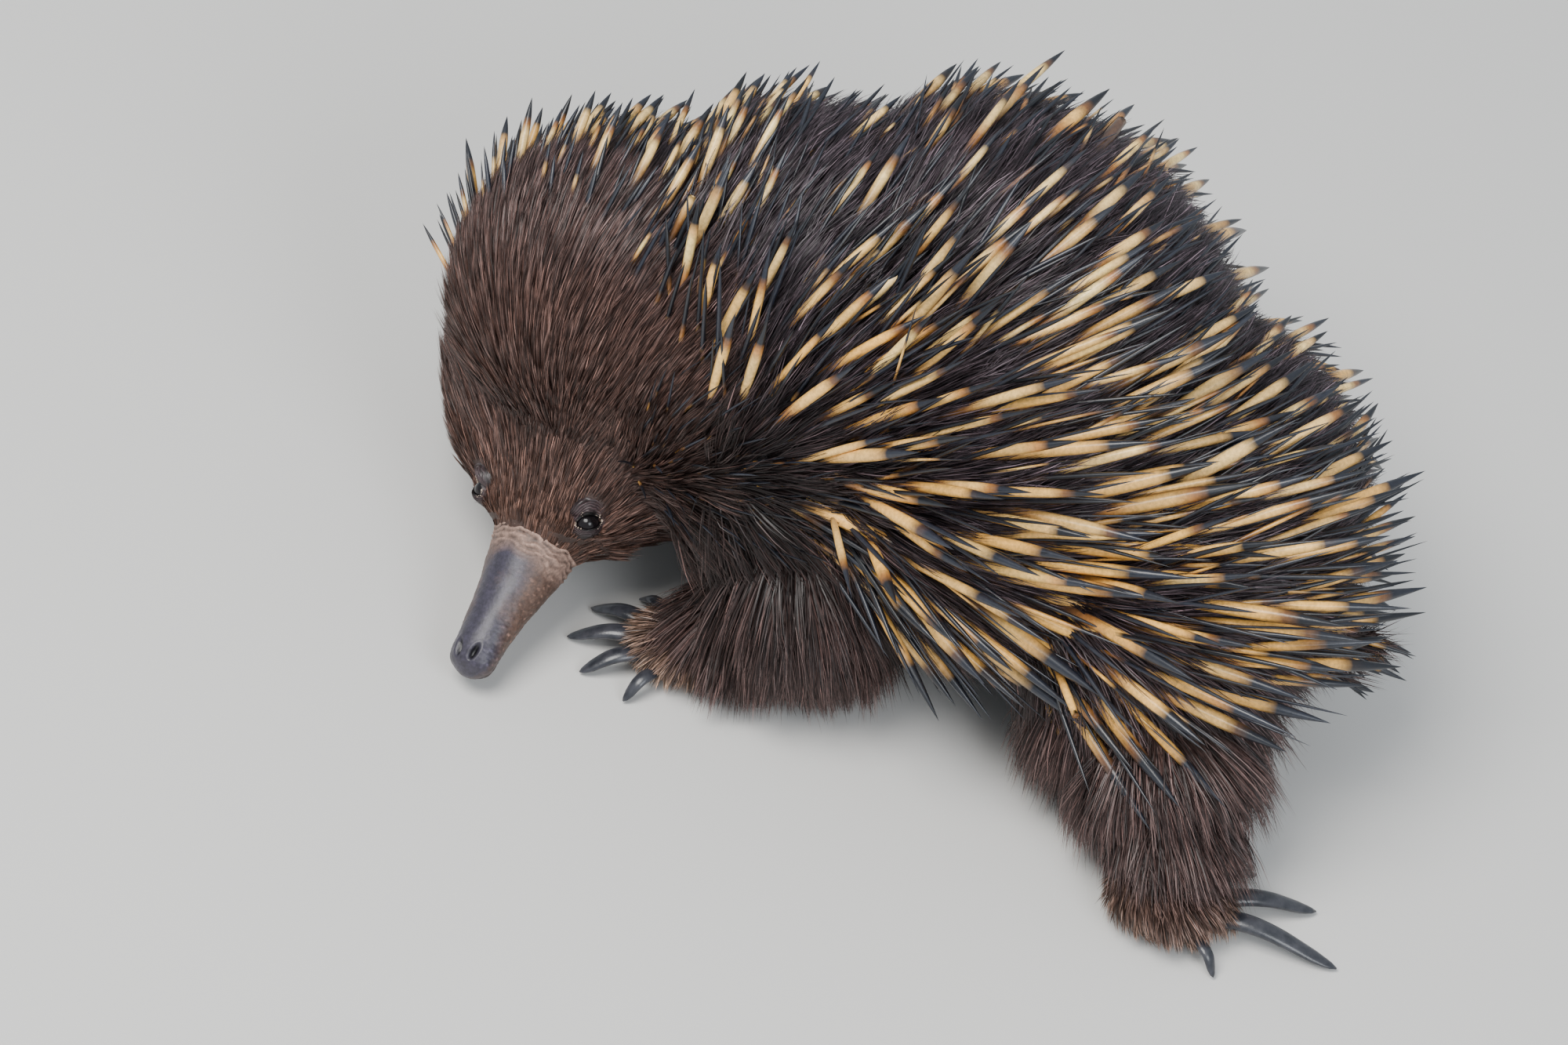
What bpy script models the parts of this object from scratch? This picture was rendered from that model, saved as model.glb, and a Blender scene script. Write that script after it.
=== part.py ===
"""Short-beaked echidna, life size, standing with its head turned to its left and its beak held low.

Metres, +Z up, with the floor at zero. The back runs along +Y towards the tail, and the face looks towards +X.
"""

import math

import bmesh
import bpy
import numpy as np
from mathutils import Matrix, Vector
from mathutils.bvhtree import BVHTree

UP = Vector((0, 0, 1))
BACK = Vector((0, 1, 0))
GAP = 0.0003

# Driving sizes of the head, measured from the middle between the eyes
BETWEEN_EYES = Vector((-0.0118, -0.0755, 0.0432))
HEAD_TURN = math.radians(-24)
HEAD_BOW = math.radians(31)
HEAD_ROLL = math.radians(19)
EYE_RADIUS = 0.0042
EYE_SIDE = 0.0190
EYE_LOOK = (0.08, 0.68, 0.73)
LID_RADIUS = 0.0045
LID_THICKNESS = 0.0014
EAR_SLIT = (-0.034, 0.027, 0.002)
BEAK_ROOT = 0.014
BEAK_STATIONS = (0.014, 0.024, 0.034, 0.043, 0.050, 0.0545, 0.0572)
BEAK_HALF_WIDTHS = (0.0133, 0.0113, 0.0094, 0.0083, 0.0080, 0.0072, 0.0048)
BEAK_HALF_HEIGHTS = (0.0128, 0.0103, 0.0083, 0.0072, 0.0066, 0.0058, 0.0038)
BEAK_RISES = (-0.0090, -0.0085, -0.0072, -0.0062, -0.0060, -0.0064, -0.0070)

# Driving sizes of the trunk and of what grows on it
FOLD = Vector((0.018, -0.027, 0.088))
HEAD_CUT = Vector((0.344, -0.912, -0.223)).normalized()
NECK_CUT = Vector((0.100, -0.970, -0.200)).normalized()
NECK_CUT_BACK = 0.006
HAIRLINE = (Vector((-0.080, -0.073, 0.125)), Vector((0.490, -0.830, 0.265)).normalized())
SPINE_LENGTH = 0.046
SPINE_RADIUS = 0.0023
SPINE_SPACING = 0.0122
BARE_FOLD = 0.0245
TAIL_SPACING = 0.0105
TAIL_SPINE_LENGTH = 0.024
LOCK_LENGTH = 0.025
LOCK_SPACING = 0.0130
LOCK_HALF_WIDTH = 0.0028
LOCK_HALF_THICKNESS = 0.0007
ROOT_SUNK = 0.0030
CLEARANCE = 0.0004
LOWEST_TIP = 0.0015

# Each mass is a centre, three radii and a turn about Z in degrees; the head's lie along its own directions
TRUNK_MASSES = (
    ((-0.016, 0.116, 0.068), (0.080, 0.062, 0.054), -8),
    ((-0.050, 0.058, 0.088), (0.097, 0.082, 0.073), 4),
    ((-0.057, 0.003, 0.083), (0.081, 0.078, 0.067), 12),
    ((-0.064, -0.053, 0.086), (0.058, 0.058, 0.048), 30),
)
HEAD_MASSES = (
    ((-0.048, -0.006, -0.010), (0.046, 0.055, 0.038)),
    ((-0.018, 0.000, -0.011), (0.036, 0.0285, 0.0235)),
    ((0.004, 0.000, -0.009), (0.029, 0.0160, 0.0152)),
)
TAIL_MASSES = (
    ((0.000, 0.152, 0.047), (0.022, 0.026, 0.018), -12),
    ((0.004, 0.166, 0.044), (0.015, 0.017, 0.012), -12),
)
LEG_MASSES = {
    "foreleg_left": (
        ((0.001, 0.012, 0.044), (0.031, 0.034, 0.037), 0),
        ((0.006, -0.003, 0.026), (0.020, 0.022, 0.021), 0),
        ((0.006, -0.020, 0.0085), (0.0150, 0.0170, 0.0095), 0),
    ),
    "foreleg_right": (
        ((-0.112, -0.008, 0.045), (0.029, 0.030, 0.036), 0),
        ((-0.112, -0.024, 0.026), (0.019, 0.021, 0.021), 0),
        ((-0.108, -0.044, 0.0085), (0.0150, 0.0175, 0.0095), 0),
    ),
    "hindleg_left": (
        ((0.033, 0.116, 0.046), (0.036, 0.038, 0.040), 0),
        ((0.070, 0.126, 0.025), (0.023, 0.020, 0.019), 0),
        ((0.093, 0.127, 0.0088), (0.0165, 0.0185, 0.0098), 0),
    ),
    "hindleg_right": (
        ((-0.070, 0.118, 0.046), (0.034, 0.038, 0.040), 0),
        ((-0.103, 0.132, 0.025), (0.022, 0.020, 0.019), 0),
        ((-0.122, 0.138, 0.0088), (0.0165, 0.0185, 0.0098), 0),
    ),
}
# The way each foot points, in degrees from +X, and whether its first toe is on its left
FEET = {
    "foreleg_left": (-98, -1, "fore"),
    "foreleg_right": (-80, 1, "fore"),
    "hindleg_left": (88, 1, "hind"),
    "hindleg_right": (100, -1, "hind"),
}
# Claws from the innermost toe outwards: degrees from the foot's direction, then sizes
CLAW_TURNS = {"fore": (-52, -24, -1, 22, 48), "hind": (-56, -14, 11, 36, 60)}
CLAW_LENGTHS = {"fore": (0.010, 0.016, 0.019, 0.017, 0.011), "hind": (0.008, 0.034, 0.027, 0.015, 0.010)}
CLAW_WIDTHS = {
    "fore": (0.0044, 0.0058, 0.0062, 0.0060, 0.0046),
    "hind": (0.0038, 0.0068, 0.0064, 0.0050, 0.0040),
}
TRIANGLES = {"trunk": 2000, "head": 1700, "leg": 400, "tail": 140}

COLOURS = {
    "head": ((0.060, 0.040, 0.028), 0.80),
    "neck": ((0.110, 0.080, 0.048), 0.70),
    "torso": ((0.110, 0.080, 0.048), 0.70),
    "tail": ((0.110, 0.080, 0.048), 0.70),
    "leg": ((0.045, 0.032, 0.028), 0.80),
    "beak": ((0.055, 0.050, 0.055), 0.35),
    "claw": ((0.040, 0.042, 0.050), 0.35),
    "eye": ((0.008, 0.007, 0.007), 0.08),
}


def head_axes():
    """Forward, left and crown directions of the bowed and tilted head."""
    heading = Vector((math.cos(HEAD_TURN), math.sin(HEAD_TURN), 0))
    forward = heading * math.cos(HEAD_BOW) - UP * math.sin(HEAD_BOW)
    level = UP.cross(heading)
    left = level * math.cos(HEAD_ROLL) + forward.cross(level) * math.sin(HEAD_ROLL)
    return forward, left, forward.cross(left)


FORWARD, LEFT, CROWN = head_axes()
HEAD_TURNED = Matrix((FORWARD, LEFT, CROWN)).transposed()


def on_head(forward, left=0.0, crown=0.0):
    """A place from the middle between the eyes, along the head's own directions."""
    return BETWEEN_EYES + FORWARD * forward + LEFT * left + CROWN * crown


def new_collection(name):
    made = bpy.data.collections.new(name)
    bpy.context.scene.collection.children.link(made)
    return made


def add_object(name, mesh, home):
    obj = bpy.data.objects.new(name, mesh)
    home.objects.link(obj)
    return obj


def mesh_from(body, name):
    mesh = bpy.data.meshes.new(name)
    body.to_mesh(mesh)
    body.free()
    return mesh


def mesh_of(name, points, faces):
    """A mesh whose faces all look outwards."""
    mesh = bpy.data.meshes.new(name)
    mesh.from_pydata(points, [], faces)
    body = bmesh.new()
    body.from_mesh(mesh)
    bmesh.ops.recalc_face_normals(body, faces=body.faces)
    body.to_mesh(mesh)
    body.free()
    return mesh


def paint(obj, kind):
    """Gives an object a material of its own."""
    colour, roughness = COLOURS[kind]
    made = bpy.data.materials.new(obj.name + "_material")
    made.use_nodes = True
    shader = made.node_tree.nodes["Principled BSDF"]
    shader.inputs["Base Color"].default_value = (*colour, 1)
    shader.inputs["Roughness"].default_value = roughness
    obj.data.materials.clear()
    obj.data.materials.append(made)


def settled(obj):
    """Applies an object's modifiers, so that its mesh is what they make."""
    graph = bpy.context.evaluated_depsgraph_get()
    mesh = bpy.data.meshes.new_from_object(obj.evaluated_get(graph), depsgraph=graph)
    obj.modifiers.clear()
    obj.data = mesh
    return obj


def ellipsoids(masses, segments=28, rings=18):
    """One mesh of ellipsoids, each given as a centre, radii and a rotation."""
    body = bmesh.new()
    for centre, radii, turned in masses:
        place = Matrix.Translation(centre) @ turned.to_4x4() @ Matrix.Diagonal((*radii, 1))
        bmesh.ops.create_uvsphere(body, u_segments=segments, v_segments=rings, radius=1, matrix=place)
    return mesh_from(body, "masses")


def placed_masses(masses):
    """World masses with their turn about Z made a rotation."""
    return [
        (Vector(centre), radii, Matrix.Rotation(math.radians(turn), 3, "Z"))
        for centre, radii, turn in masses
    ]


def head_masses():
    return [(on_head(*place), radii, HEAD_TURNED) for place, radii in HEAD_MASSES]


def flesh(name, masses, voxel, rounds, triangles, home):
    """Melts overlapping masses into one smooth closed body of about this many triangles."""
    obj = add_object(name, ellipsoids(masses), home)
    melt = obj.modifiers.new("melt", "REMESH")
    melt.mode = "VOXEL"
    melt.voxel_size = voxel
    soften = obj.modifiers.new("soften", "SMOOTH")
    soften.factor = 0.5
    soften.iterations = rounds
    settled(obj)
    obj.data.calc_loop_triangles()
    fewer = obj.modifiers.new("fewer", "DECIMATE")
    fewer.ratio = min(1, triangles / len(obj.data.loop_triangles))
    return settled(obj)


def largest_surface(obj):
    """Keeps only the largest closed surface of a body."""
    body = bmesh.new()
    body.from_mesh(obj.data)
    waiting = set(body.faces)
    shells = []
    while waiting:
        shell = {waiting.pop()}
        growing = list(shell)
        while growing:
            for edge in growing.pop().edges:
                for other in edge.link_faces:
                    if other not in shell:
                        shell.add(other)
                        growing.append(other)
        waiting -= shell
        shells.append(shell)
    shells.sort(key=lambda shell: sum(face.calc_area() for face in shell))
    scraps = [face for shell in shells[:-1] for face in shell]
    bmesh.ops.delete(body, geom=scraps, context="FACES")
    body.to_mesh(obj.data)
    body.free()
    return obj


def boolean(obj, operation, meshes, solver="EXACT"):
    """One Boolean of an object with a collection of closed meshes, which is then removed."""
    helpers = new_collection("helpers")
    helpers.hide_render = True
    for mesh in meshes:
        helper = add_object("helper", mesh, helpers)
        helper.hide_render = True
        helper.display_type = "WIRE"
    step = obj.modifiers.new(operation.lower(), "BOOLEAN")
    step.operation = operation
    step.operand_type = "COLLECTION"
    step.collection = helpers
    step.solver = solver
    settled(obj)
    for helper in list(helpers.objects):
        bpy.data.objects.remove(helper)
    bpy.data.collections.remove(helpers)
    return largest_surface(obj)


def block_beyond(place, direction):
    """A large block that starts at a plane and fills the side that a direction points to."""
    reach = 0.8
    body = bmesh.new()
    turned = direction.to_track_quat("Z", "Y").to_matrix().to_4x4()
    stand = Matrix.Translation(place) @ turned @ Matrix.Translation((0, 0, reach / 2))
    bmesh.ops.create_cube(body, size=reach, matrix=stand)
    return mesh_from(body, "block")


def swollen(mesh, by=GAP):
    """A copy whose surface stands a little outside the original, to cut a neighbour clear of it."""
    body = bmesh.new()
    body.from_mesh(mesh)
    body.normal_update()
    moved = [vertex.co + vertex.normal * by * 1.1 for vertex in body.verts]
    for vertex, place in zip(body.verts, moved):
        vertex.co = place
    return mesh_from(body, "swollen")


def loft(centres, side, widths, heights, sides, pointed=True):
    """A closed tapering body along a line of centres; a pointed one ends in the last of them."""
    rings = centres[:-1] if pointed else centres
    points = []
    for k, centre in enumerate(rings):
        ahead = (centres[min(k + 1, len(centres) - 1)] - centres[max(k - 1, 0)]).normalized()
        across = (side - ahead * side.dot(ahead)).normalized()
        over = ahead.cross(across)
        for i in range(sides):
            angle = math.tau * i / sides
            points.append(centre + across * math.cos(angle) * widths[k] + over * math.sin(angle) * heights[k])
    faces = [tuple(range(sides))]
    for k in range(len(rings) - 1):
        for i in range(sides):
            j = (i + 1) % sides
            faces.append((k * sides + i, k * sides + j, (k + 1) * sides + j, (k + 1) * sides + i))
    last = (len(rings) - 1) * sides
    if pointed:
        points.append(centres[-1])
        faces += [(last + i, last + (i + 1) % sides, len(points) - 1) for i in range(sides)]
    else:
        faces.append(tuple(range(last, last + sides)))
    return mesh_of("loft", points, faces)


def ring_round(centre, axis, long_way, radius, stretch, thickness, around=14, sides=6):
    """A closed ring about an axis, longer one way than the other."""
    across = (long_way - axis * long_way.dot(axis)).normalized()
    over = axis.cross(across)
    points = []
    faces = []
    for k in range(around):
        angle = math.tau * k / around
        outward = across * math.cos(angle) + over * math.sin(angle)
        middle = centre + across * math.cos(angle) * radius * stretch + over * math.sin(angle) * radius
        for i in range(sides):
            turn = math.tau * i / sides
            points.append(middle + (outward * math.cos(turn) + axis * math.sin(turn)) * thickness)
            j = (i + 1) % sides
            m = (k + 1) % around
            faces.append((k * sides + i, m * sides + i, m * sides + j, k * sides + j))
    return mesh_of("ring", points, faces)


def claws_of(leg):
    """The centre line, crosswise direction, half-width and toe of every claw of a foot."""
    heading, inner, kind = FEET[leg]
    foot = Vector(LEG_MASSES[leg][-1][0])
    radii = LEG_MASSES[leg][-1][1]
    found = []
    for turn, length, width in zip(CLAW_TURNS[kind], CLAW_LENGTHS[kind], CLAW_WIDTHS[kind]):
        half_width = width / 2
        angle = math.radians(heading + turn * inner)
        ahead = Vector((math.cos(angle), math.sin(angle), 0))
        reach = 1 / math.hypot(ahead.x / radii[0], ahead.y / radii[1])
        toe = foot + ahead * (reach - 0.001)
        toe.z = 0.0068
        start = toe + ahead * 0.0005
        drop = start.z - 0.0014
        line = [
            start,
            start + ahead * (0.005 + length * 0.25) + UP * length * 0.03,
            start + ahead * (0.005 + length * 0.62) - UP * drop * 0.36,
            start + ahead * (0.005 + length) - UP * drop,
        ]
        found.append((line, UP.cross(ahead), half_width, toe))
    return found


def claw(line, across, half_width, extra=0.0):
    """A claw's body, or with extra the slightly larger pocket that it needs."""
    widths = [half_width + extra, half_width * 1.05 + extra, half_width * 0.72 + extra]
    heights = [half_width * 0.72 + extra, half_width * 0.70 + extra, half_width * 0.46 + extra]
    ahead = (line[1] - line[0]).normalized()
    return loft([line[0] - ahead * extra, *line[1:]], across, widths, heights, 6)


def build_beak(home):
    """The naked beak, a loft that narrows to a small rounded end with two nostrils and a mouth line below."""
    centres = [on_head(f, 0, c) for f, c in zip(BEAK_STATIONS, BEAK_RISES)]
    centres[0] = on_head(BEAK_ROOT + GAP, 0, BEAK_RISES[0])
    mesh = loft(centres, LEFT, BEAK_HALF_WIDTHS, BEAK_HALF_HEIGHTS, 14, pointed=False)
    beak = add_object("beak", mesh, home)
    root = block_beyond(on_head(BEAK_ROOT + GAP), -FORWARD)
    pits = []
    for side in (-1, 1):
        place = on_head(0.0515, side * 0.0030, BEAK_RISES[4] + 0.0062)
        pits.append((place, (0.0019, 0.0008, 0.0012), HEAD_TURNED))
    holes = ellipsoids(pits, 10, 6)
    mouth_middle = on_head(0.0560, 0, BEAK_RISES[5] - 0.0026)
    mouth = ellipsoids([(mouth_middle, (0.0085, 0.0090, 0.00035), HEAD_TURNED)], 16, 4)
    boolean(beak, "DIFFERENCE", [root, holes, mouth])
    return beak


def build_eye(side, home):
    body = bmesh.new()
    place = Matrix.Translation(on_head(0, side * EYE_SIDE, 0))
    bmesh.ops.create_icosphere(body, subdivisions=2, radius=EYE_RADIUS, matrix=place)
    return add_object("eye_left" if side > 0 else "eye_right", mesh_from(body, "eye"), home)


def face_forms():
    """What stands up from the head's skin: lids, brows and the rims of the ear slits."""
    forms = []
    for side in (-1, 1):
        eye = on_head(0, side * EYE_SIDE, 0)
        looking = (FORWARD * EYE_LOOK[0] + LEFT * side * EYE_LOOK[1] + CROWN * EYE_LOOK[2]).normalized()
        lid = eye + looking * 0.0012
        forms.append(ring_round(lid, looking, LEFT, LID_RADIUS, 1.12, LID_THICKNESS, 12, 5))
        brow = eye - FORWARD * 0.0056 - looking * 0.0004
        forms.append(ellipsoids([(brow, (0.0040, 0.0062, 0.0036), HEAD_TURNED)], 10, 7))
    return forms


def face_hollows():
    """What is cut into the head's skin: sockets a gap wider than the eyes, and ear slits."""
    hollows = []
    for side in (-1, 1):
        body = bmesh.new()
        place = Matrix.Translation(on_head(0, side * EYE_SIDE, 0))
        bmesh.ops.create_icosphere(body, subdivisions=3, radius=EYE_RADIUS + GAP, matrix=place)
        hollows.append(mesh_from(body, "socket"))
        ear = on_head(EAR_SLIT[0], side * EAR_SLIT[1], EAR_SLIT[2])
        hollows.append(ellipsoids([(ear, (0.0016, 0.0100, 0.0065), HEAD_TURNED)], 12, 8))
    return hollows


def scatter(obj, spacing, allowed, seed):
    """Places and normals spread over a body, none nearer to another than the spacing."""
    rng = np.random.default_rng(seed)
    mesh = obj.data
    mesh.calc_loop_triangles()
    corners = np.array([[mesh.vertices[v].co[:] for v in tri.vertices] for tri in mesh.loop_triangles])
    crossed = np.cross(corners[:, 1] - corners[:, 0], corners[:, 2] - corners[:, 0])
    areas = np.linalg.norm(crossed, axis=1)
    chosen = rng.choice(len(areas), size=9000, p=areas / areas.sum())
    weights = rng.dirichlet((1, 1, 1), size=9000)
    places = (corners[chosen] * weights[:, :, None]).sum(axis=1)
    normals = crossed[chosen] / areas[chosen][:, None]
    kept = []
    kept_places = np.empty((0, 3))
    for place, normal in zip(places, normals):
        if len(kept_places) and np.min(np.linalg.norm(kept_places - place, axis=1)) < spacing:
            continue
        if allowed(Vector(place), Vector(normal)):
            kept.append((Vector(place), Vector(normal)))
            kept_places = np.vstack((kept_places, place))
    return kept


def midline_x(y):
    """The sideways place of the back's midline, which curves with the trunk."""
    return float(np.interp(y, (-0.050, 0.000, 0.060, 0.116, 0.170), (-0.062, -0.056, -0.050, -0.016, 0.000)))


def down_flank(place):
    """Degrees down from the midline of the back, negative on the side away from the turned face."""
    return math.degrees(math.atan2(place.x - midline_x(place.y), place.z - 0.078))


def lie(place, normal):
    """The way the coat lies: fanned from the neck's fold, then back, over the top and down the far flank."""
    down = down_flank(place)
    around = (-110, -60, -25, 10, 35, 60, 100)
    over = float(np.interp(down, around, (0.2, 0.9, 1.5, 1.1, 0.55, 0.2, 0.0)))
    rise = float(np.interp(down, around, (-0.6, -0.5, 0.0, 0.15, 0.55, 0.4, -0.1)))
    neck_share = float(np.interp(place.y, (-0.070, 0.030), (1, 0)))
    way = (BACK + UP * rise - Vector((over, 0, 0))) * (1 - neck_share) - FORWARD * 1.2 * neck_share
    from_fold = place - FOLD
    outward = from_fold.normalized()
    fold_share = math.exp(-((from_fold.length / 0.060) ** 2)) * min(max(down / 15, 0.0), 1.0)
    leaving = min(max(outward.dot(BACK) * 1.5 + 1.0, 0.0), 1.0)
    way = way * (1 - fold_share) + (outward * leaving + BACK * (1 - leaving)) * fold_share * 1.4
    way -= normal * way.dot(normal)
    return way.normalized()


def spiny(place, normal):
    """Whether the skin at a place carries spines rather than hair."""
    if (place - HAIRLINE[0]).dot(HAIRLINE[1]) > 0.005 or (place - FOLD).length < BARE_FOLD:
        return False
    if place.z < 0.085 and place.y < 0.004 and place.x > midline_x(place.y):
        return False
    out = place.x - midline_x(place.y)
    from_top = math.degrees(math.atan2(abs(out), place.z - 0.078))
    lowest = float(np.interp(place.y, (-0.06, 0.0, 0.10, 0.18), (0.078, 0.066, 0.052, 0.050)))
    return from_top < 118 and place.z > lowest


class Growth:
    """Keeps what has been grown as rows of balls, so that nothing new grows into it or into another node."""

    def __init__(self):
        self.centres = np.empty((0, 3))
        self.radii = np.empty(0)
        self.owners = {}

    def know(self, name, obj):
        body = bmesh.new()
        body.from_mesh(obj.data)
        self.owners[name] = BVHTree.FromBMesh(body)
        body.free()

    def clear(self, owner, root, line, radii):
        places = np.array([p[:] for p in line])
        if min(p.z - r for p, r in zip(line, radii)) < LOWEST_TIP:
            return False
        if len(self.radii):
            apart = np.linalg.norm(self.centres[:, None] - places[None], axis=2)
            if np.any(apart < self.radii[:, None] + np.array(radii)[None] + CLEARANCE):
                return False
        for name, tree in self.owners.items():
            if name == owner:
                continue
            for p, r in zip([root, root.lerp(line[0], 0.5), *line], [radii[0], radii[0], *radii]):
                if tree.find_nearest(p, r + CLEARANCE + 0.0010)[0] is not None:
                    return False
        return True

    def add(self, line, radii):
        self.centres = np.vstack((self.centres, [p[:] for p in line]))
        self.radii = np.concatenate((self.radii, radii))


def along(points, steps):
    """Points spread evenly over a bent line."""
    found = []
    for k in range(steps):
        t = k / (steps - 1) * (len(points) - 1)
        i = min(int(t), len(points) - 2)
        found.append(points[i].lerp(points[i + 1], t - i))
    return found


def grow_spines(owner, obj, spacing, length_at, growth, seed, allowed=spiny):
    """Spindle spines, each sunk into the core and tried steeper where it would meet another."""
    rng = np.random.default_rng(seed)
    grown = []
    for place, normal in scatter(obj, spacing, allowed, seed):
        way = lie(place, normal)
        rump = rump_share(normal)
        length = length_at(place) * rng.uniform(0.86, 1.10) * (1 - 0.45 * rump)
        radius = SPINE_RADIUS * rng.uniform(0.88, 1.08) * (length / SPINE_LENGTH) ** 0.4
        base = max(spine_lift(place), 42 * rump) + rng.uniform(-4, 4)
        if rng.random() > spine_share(place):
            continue
        for steeper in (0, 5, 10, 16, 23):
            lift = math.radians(base + steeper)
            ahead = way * math.cos(lift) + normal * math.sin(lift)
            sunk = ROOT_SUNK / math.sin(lift)
            root = place - ahead * sunk
            middle = place + ahead * length * 0.34
            tip = place + ahead * length
            seen = along([place + ahead * 0.003, tip], 12)
            thick = [radius * min(0.62 + 0.095 * k, 1 - 0.12 * (k - 4)) for k in range(12)]
            if growth.clear(owner, root, seen, thick):
                growth.add(seen, thick)
                side = normal.cross(ahead).normalized()
                turned = (side + normal * rng.uniform(-0.6, 0.6)).normalized()
                widths = [radius * 0.62, radius]
                grown.append(loft([root, middle, tip], turned, widths, widths, 4))
                break
    return grown


def grow_locks(owner, obj, spacing, allowed, way_at, growth, seed, length=LOCK_LENGTH):
    """Flat tapering locks of long hair that bend over towards the floor."""
    rng = np.random.default_rng(seed)
    grown = []
    for place, normal in scatter(obj, spacing, allowed, seed):
        way = way_at(place)
        way = (way - normal * way.dot(normal)).normalized()
        long = length * rng.uniform(0.85, 1.15)
        for lift, share in ((24, 1.0), (32, 1.0), (40, 0.85), (48, 0.7)):
            lift = math.radians(lift + rng.uniform(-3, 3))
            ahead = way * math.cos(lift) + normal * math.sin(lift)
            bent = (ahead + way * 0.35 - normal * 0.10).normalized()
            last = (bent + way * 0.35 - UP * 0.15).normalized()
            root = place - ahead * ROOT_SUNK / math.sin(lift)
            line = [place + ahead * long * share * 0.38]
            line.append(line[0] + bent * long * share * 0.34)
            line.append(line[1] + last * long * share * 0.28)
            seen = along([place + ahead * 0.0025, *line], 12)
            thick = [LOCK_HALF_WIDTH * (0.85 - 0.70 * k / 11) for k in range(12)]
            if growth.clear(owner, root, seen, thick):
                growth.add(seen, thick)
                side = normal.cross(ahead).normalized()
                widths = [LOCK_HALF_WIDTH * 0.8, LOCK_HALF_WIDTH, LOCK_HALF_WIDTH * 0.68]
                flats = [LOCK_HALF_THICKNESS * 1.1, LOCK_HALF_THICKNESS, LOCK_HALF_THICKNESS * 0.7]
                grown.append(loft([root, *line], side, widths, flats, 4))
                break
    return grown


def spine_length(place):
    """How far a spine stands out: shorter over the nape and the top of the back, longest low on the flank."""
    by_place = float(np.interp(place.y, (-0.08, -0.02, 0.05, 0.18), (0.026, 0.032, 0.044, 0.042)))
    return by_place * float(np.interp(down_flank(place), (-60, -10, 25, 70), (0.80, 0.72, 0.80, 1.0)))


def rump_share(normal):
    """How much the skin faces straight backwards, as it does over the tail."""
    return min(max((normal.y - 0.6) / 0.3, 0.0), 1.0) * min(max((0.55 - normal.z) / 0.4, 0.0), 1.0)


def spine_lift(place):
    """How steeply a spine leaves the skin, in degrees: raised on the nape, low over the round of the back."""
    by_place = float(np.interp(place.y, (-0.08, -0.01, 0.05, 0.12, 0.16), (38, 27, 16, 17, 22)))
    return by_place * float(np.interp(down_flank(place), (-60, -10, 25, 70), (0.85, 0.80, 0.85, 1.0)))


def spine_share(place):
    """How many of the places that could carry a spine do, fewest on the top of the back."""
    down = float(np.interp(down_flank(place), (-70, -20, 15, 45), (0.80, 0.62, 0.66, 1.0)))
    return max(down, float(np.interp(place.y, (-0.05, 0.01), (1, 0))))


def tail_spiny(place, normal):
    return place.y > 0.156 and normal.z > -0.55


def skirt(place, normal):
    """The band of long hair below the spines of the flank."""
    if spiny(place, normal) or normal.z < -0.75:
        return False
    return place.z > 0.020 and -0.02 < place.y < 0.17


def skirt_way(place):
    out = 1 if place.x > midline_x(place.y) else -1
    return BACK * 0.75 - UP * 0.65 + Vector((out * 0.1, 0, 0))


def leg_way(leg):
    """Hair of a leg fans down from the top of its first mass."""
    centre, radii, _ = LEG_MASSES[leg][0]
    top = Vector(centre) + UP * radii[2] * 1.5
    sway = BACK * (0.35 if leg.startswith("hind") else -0.15)
    return lambda place: (place - top).normalized() + sway


def leg_hairy(place, normal):
    return place.z > 0.021 and normal.z > -0.55


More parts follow.
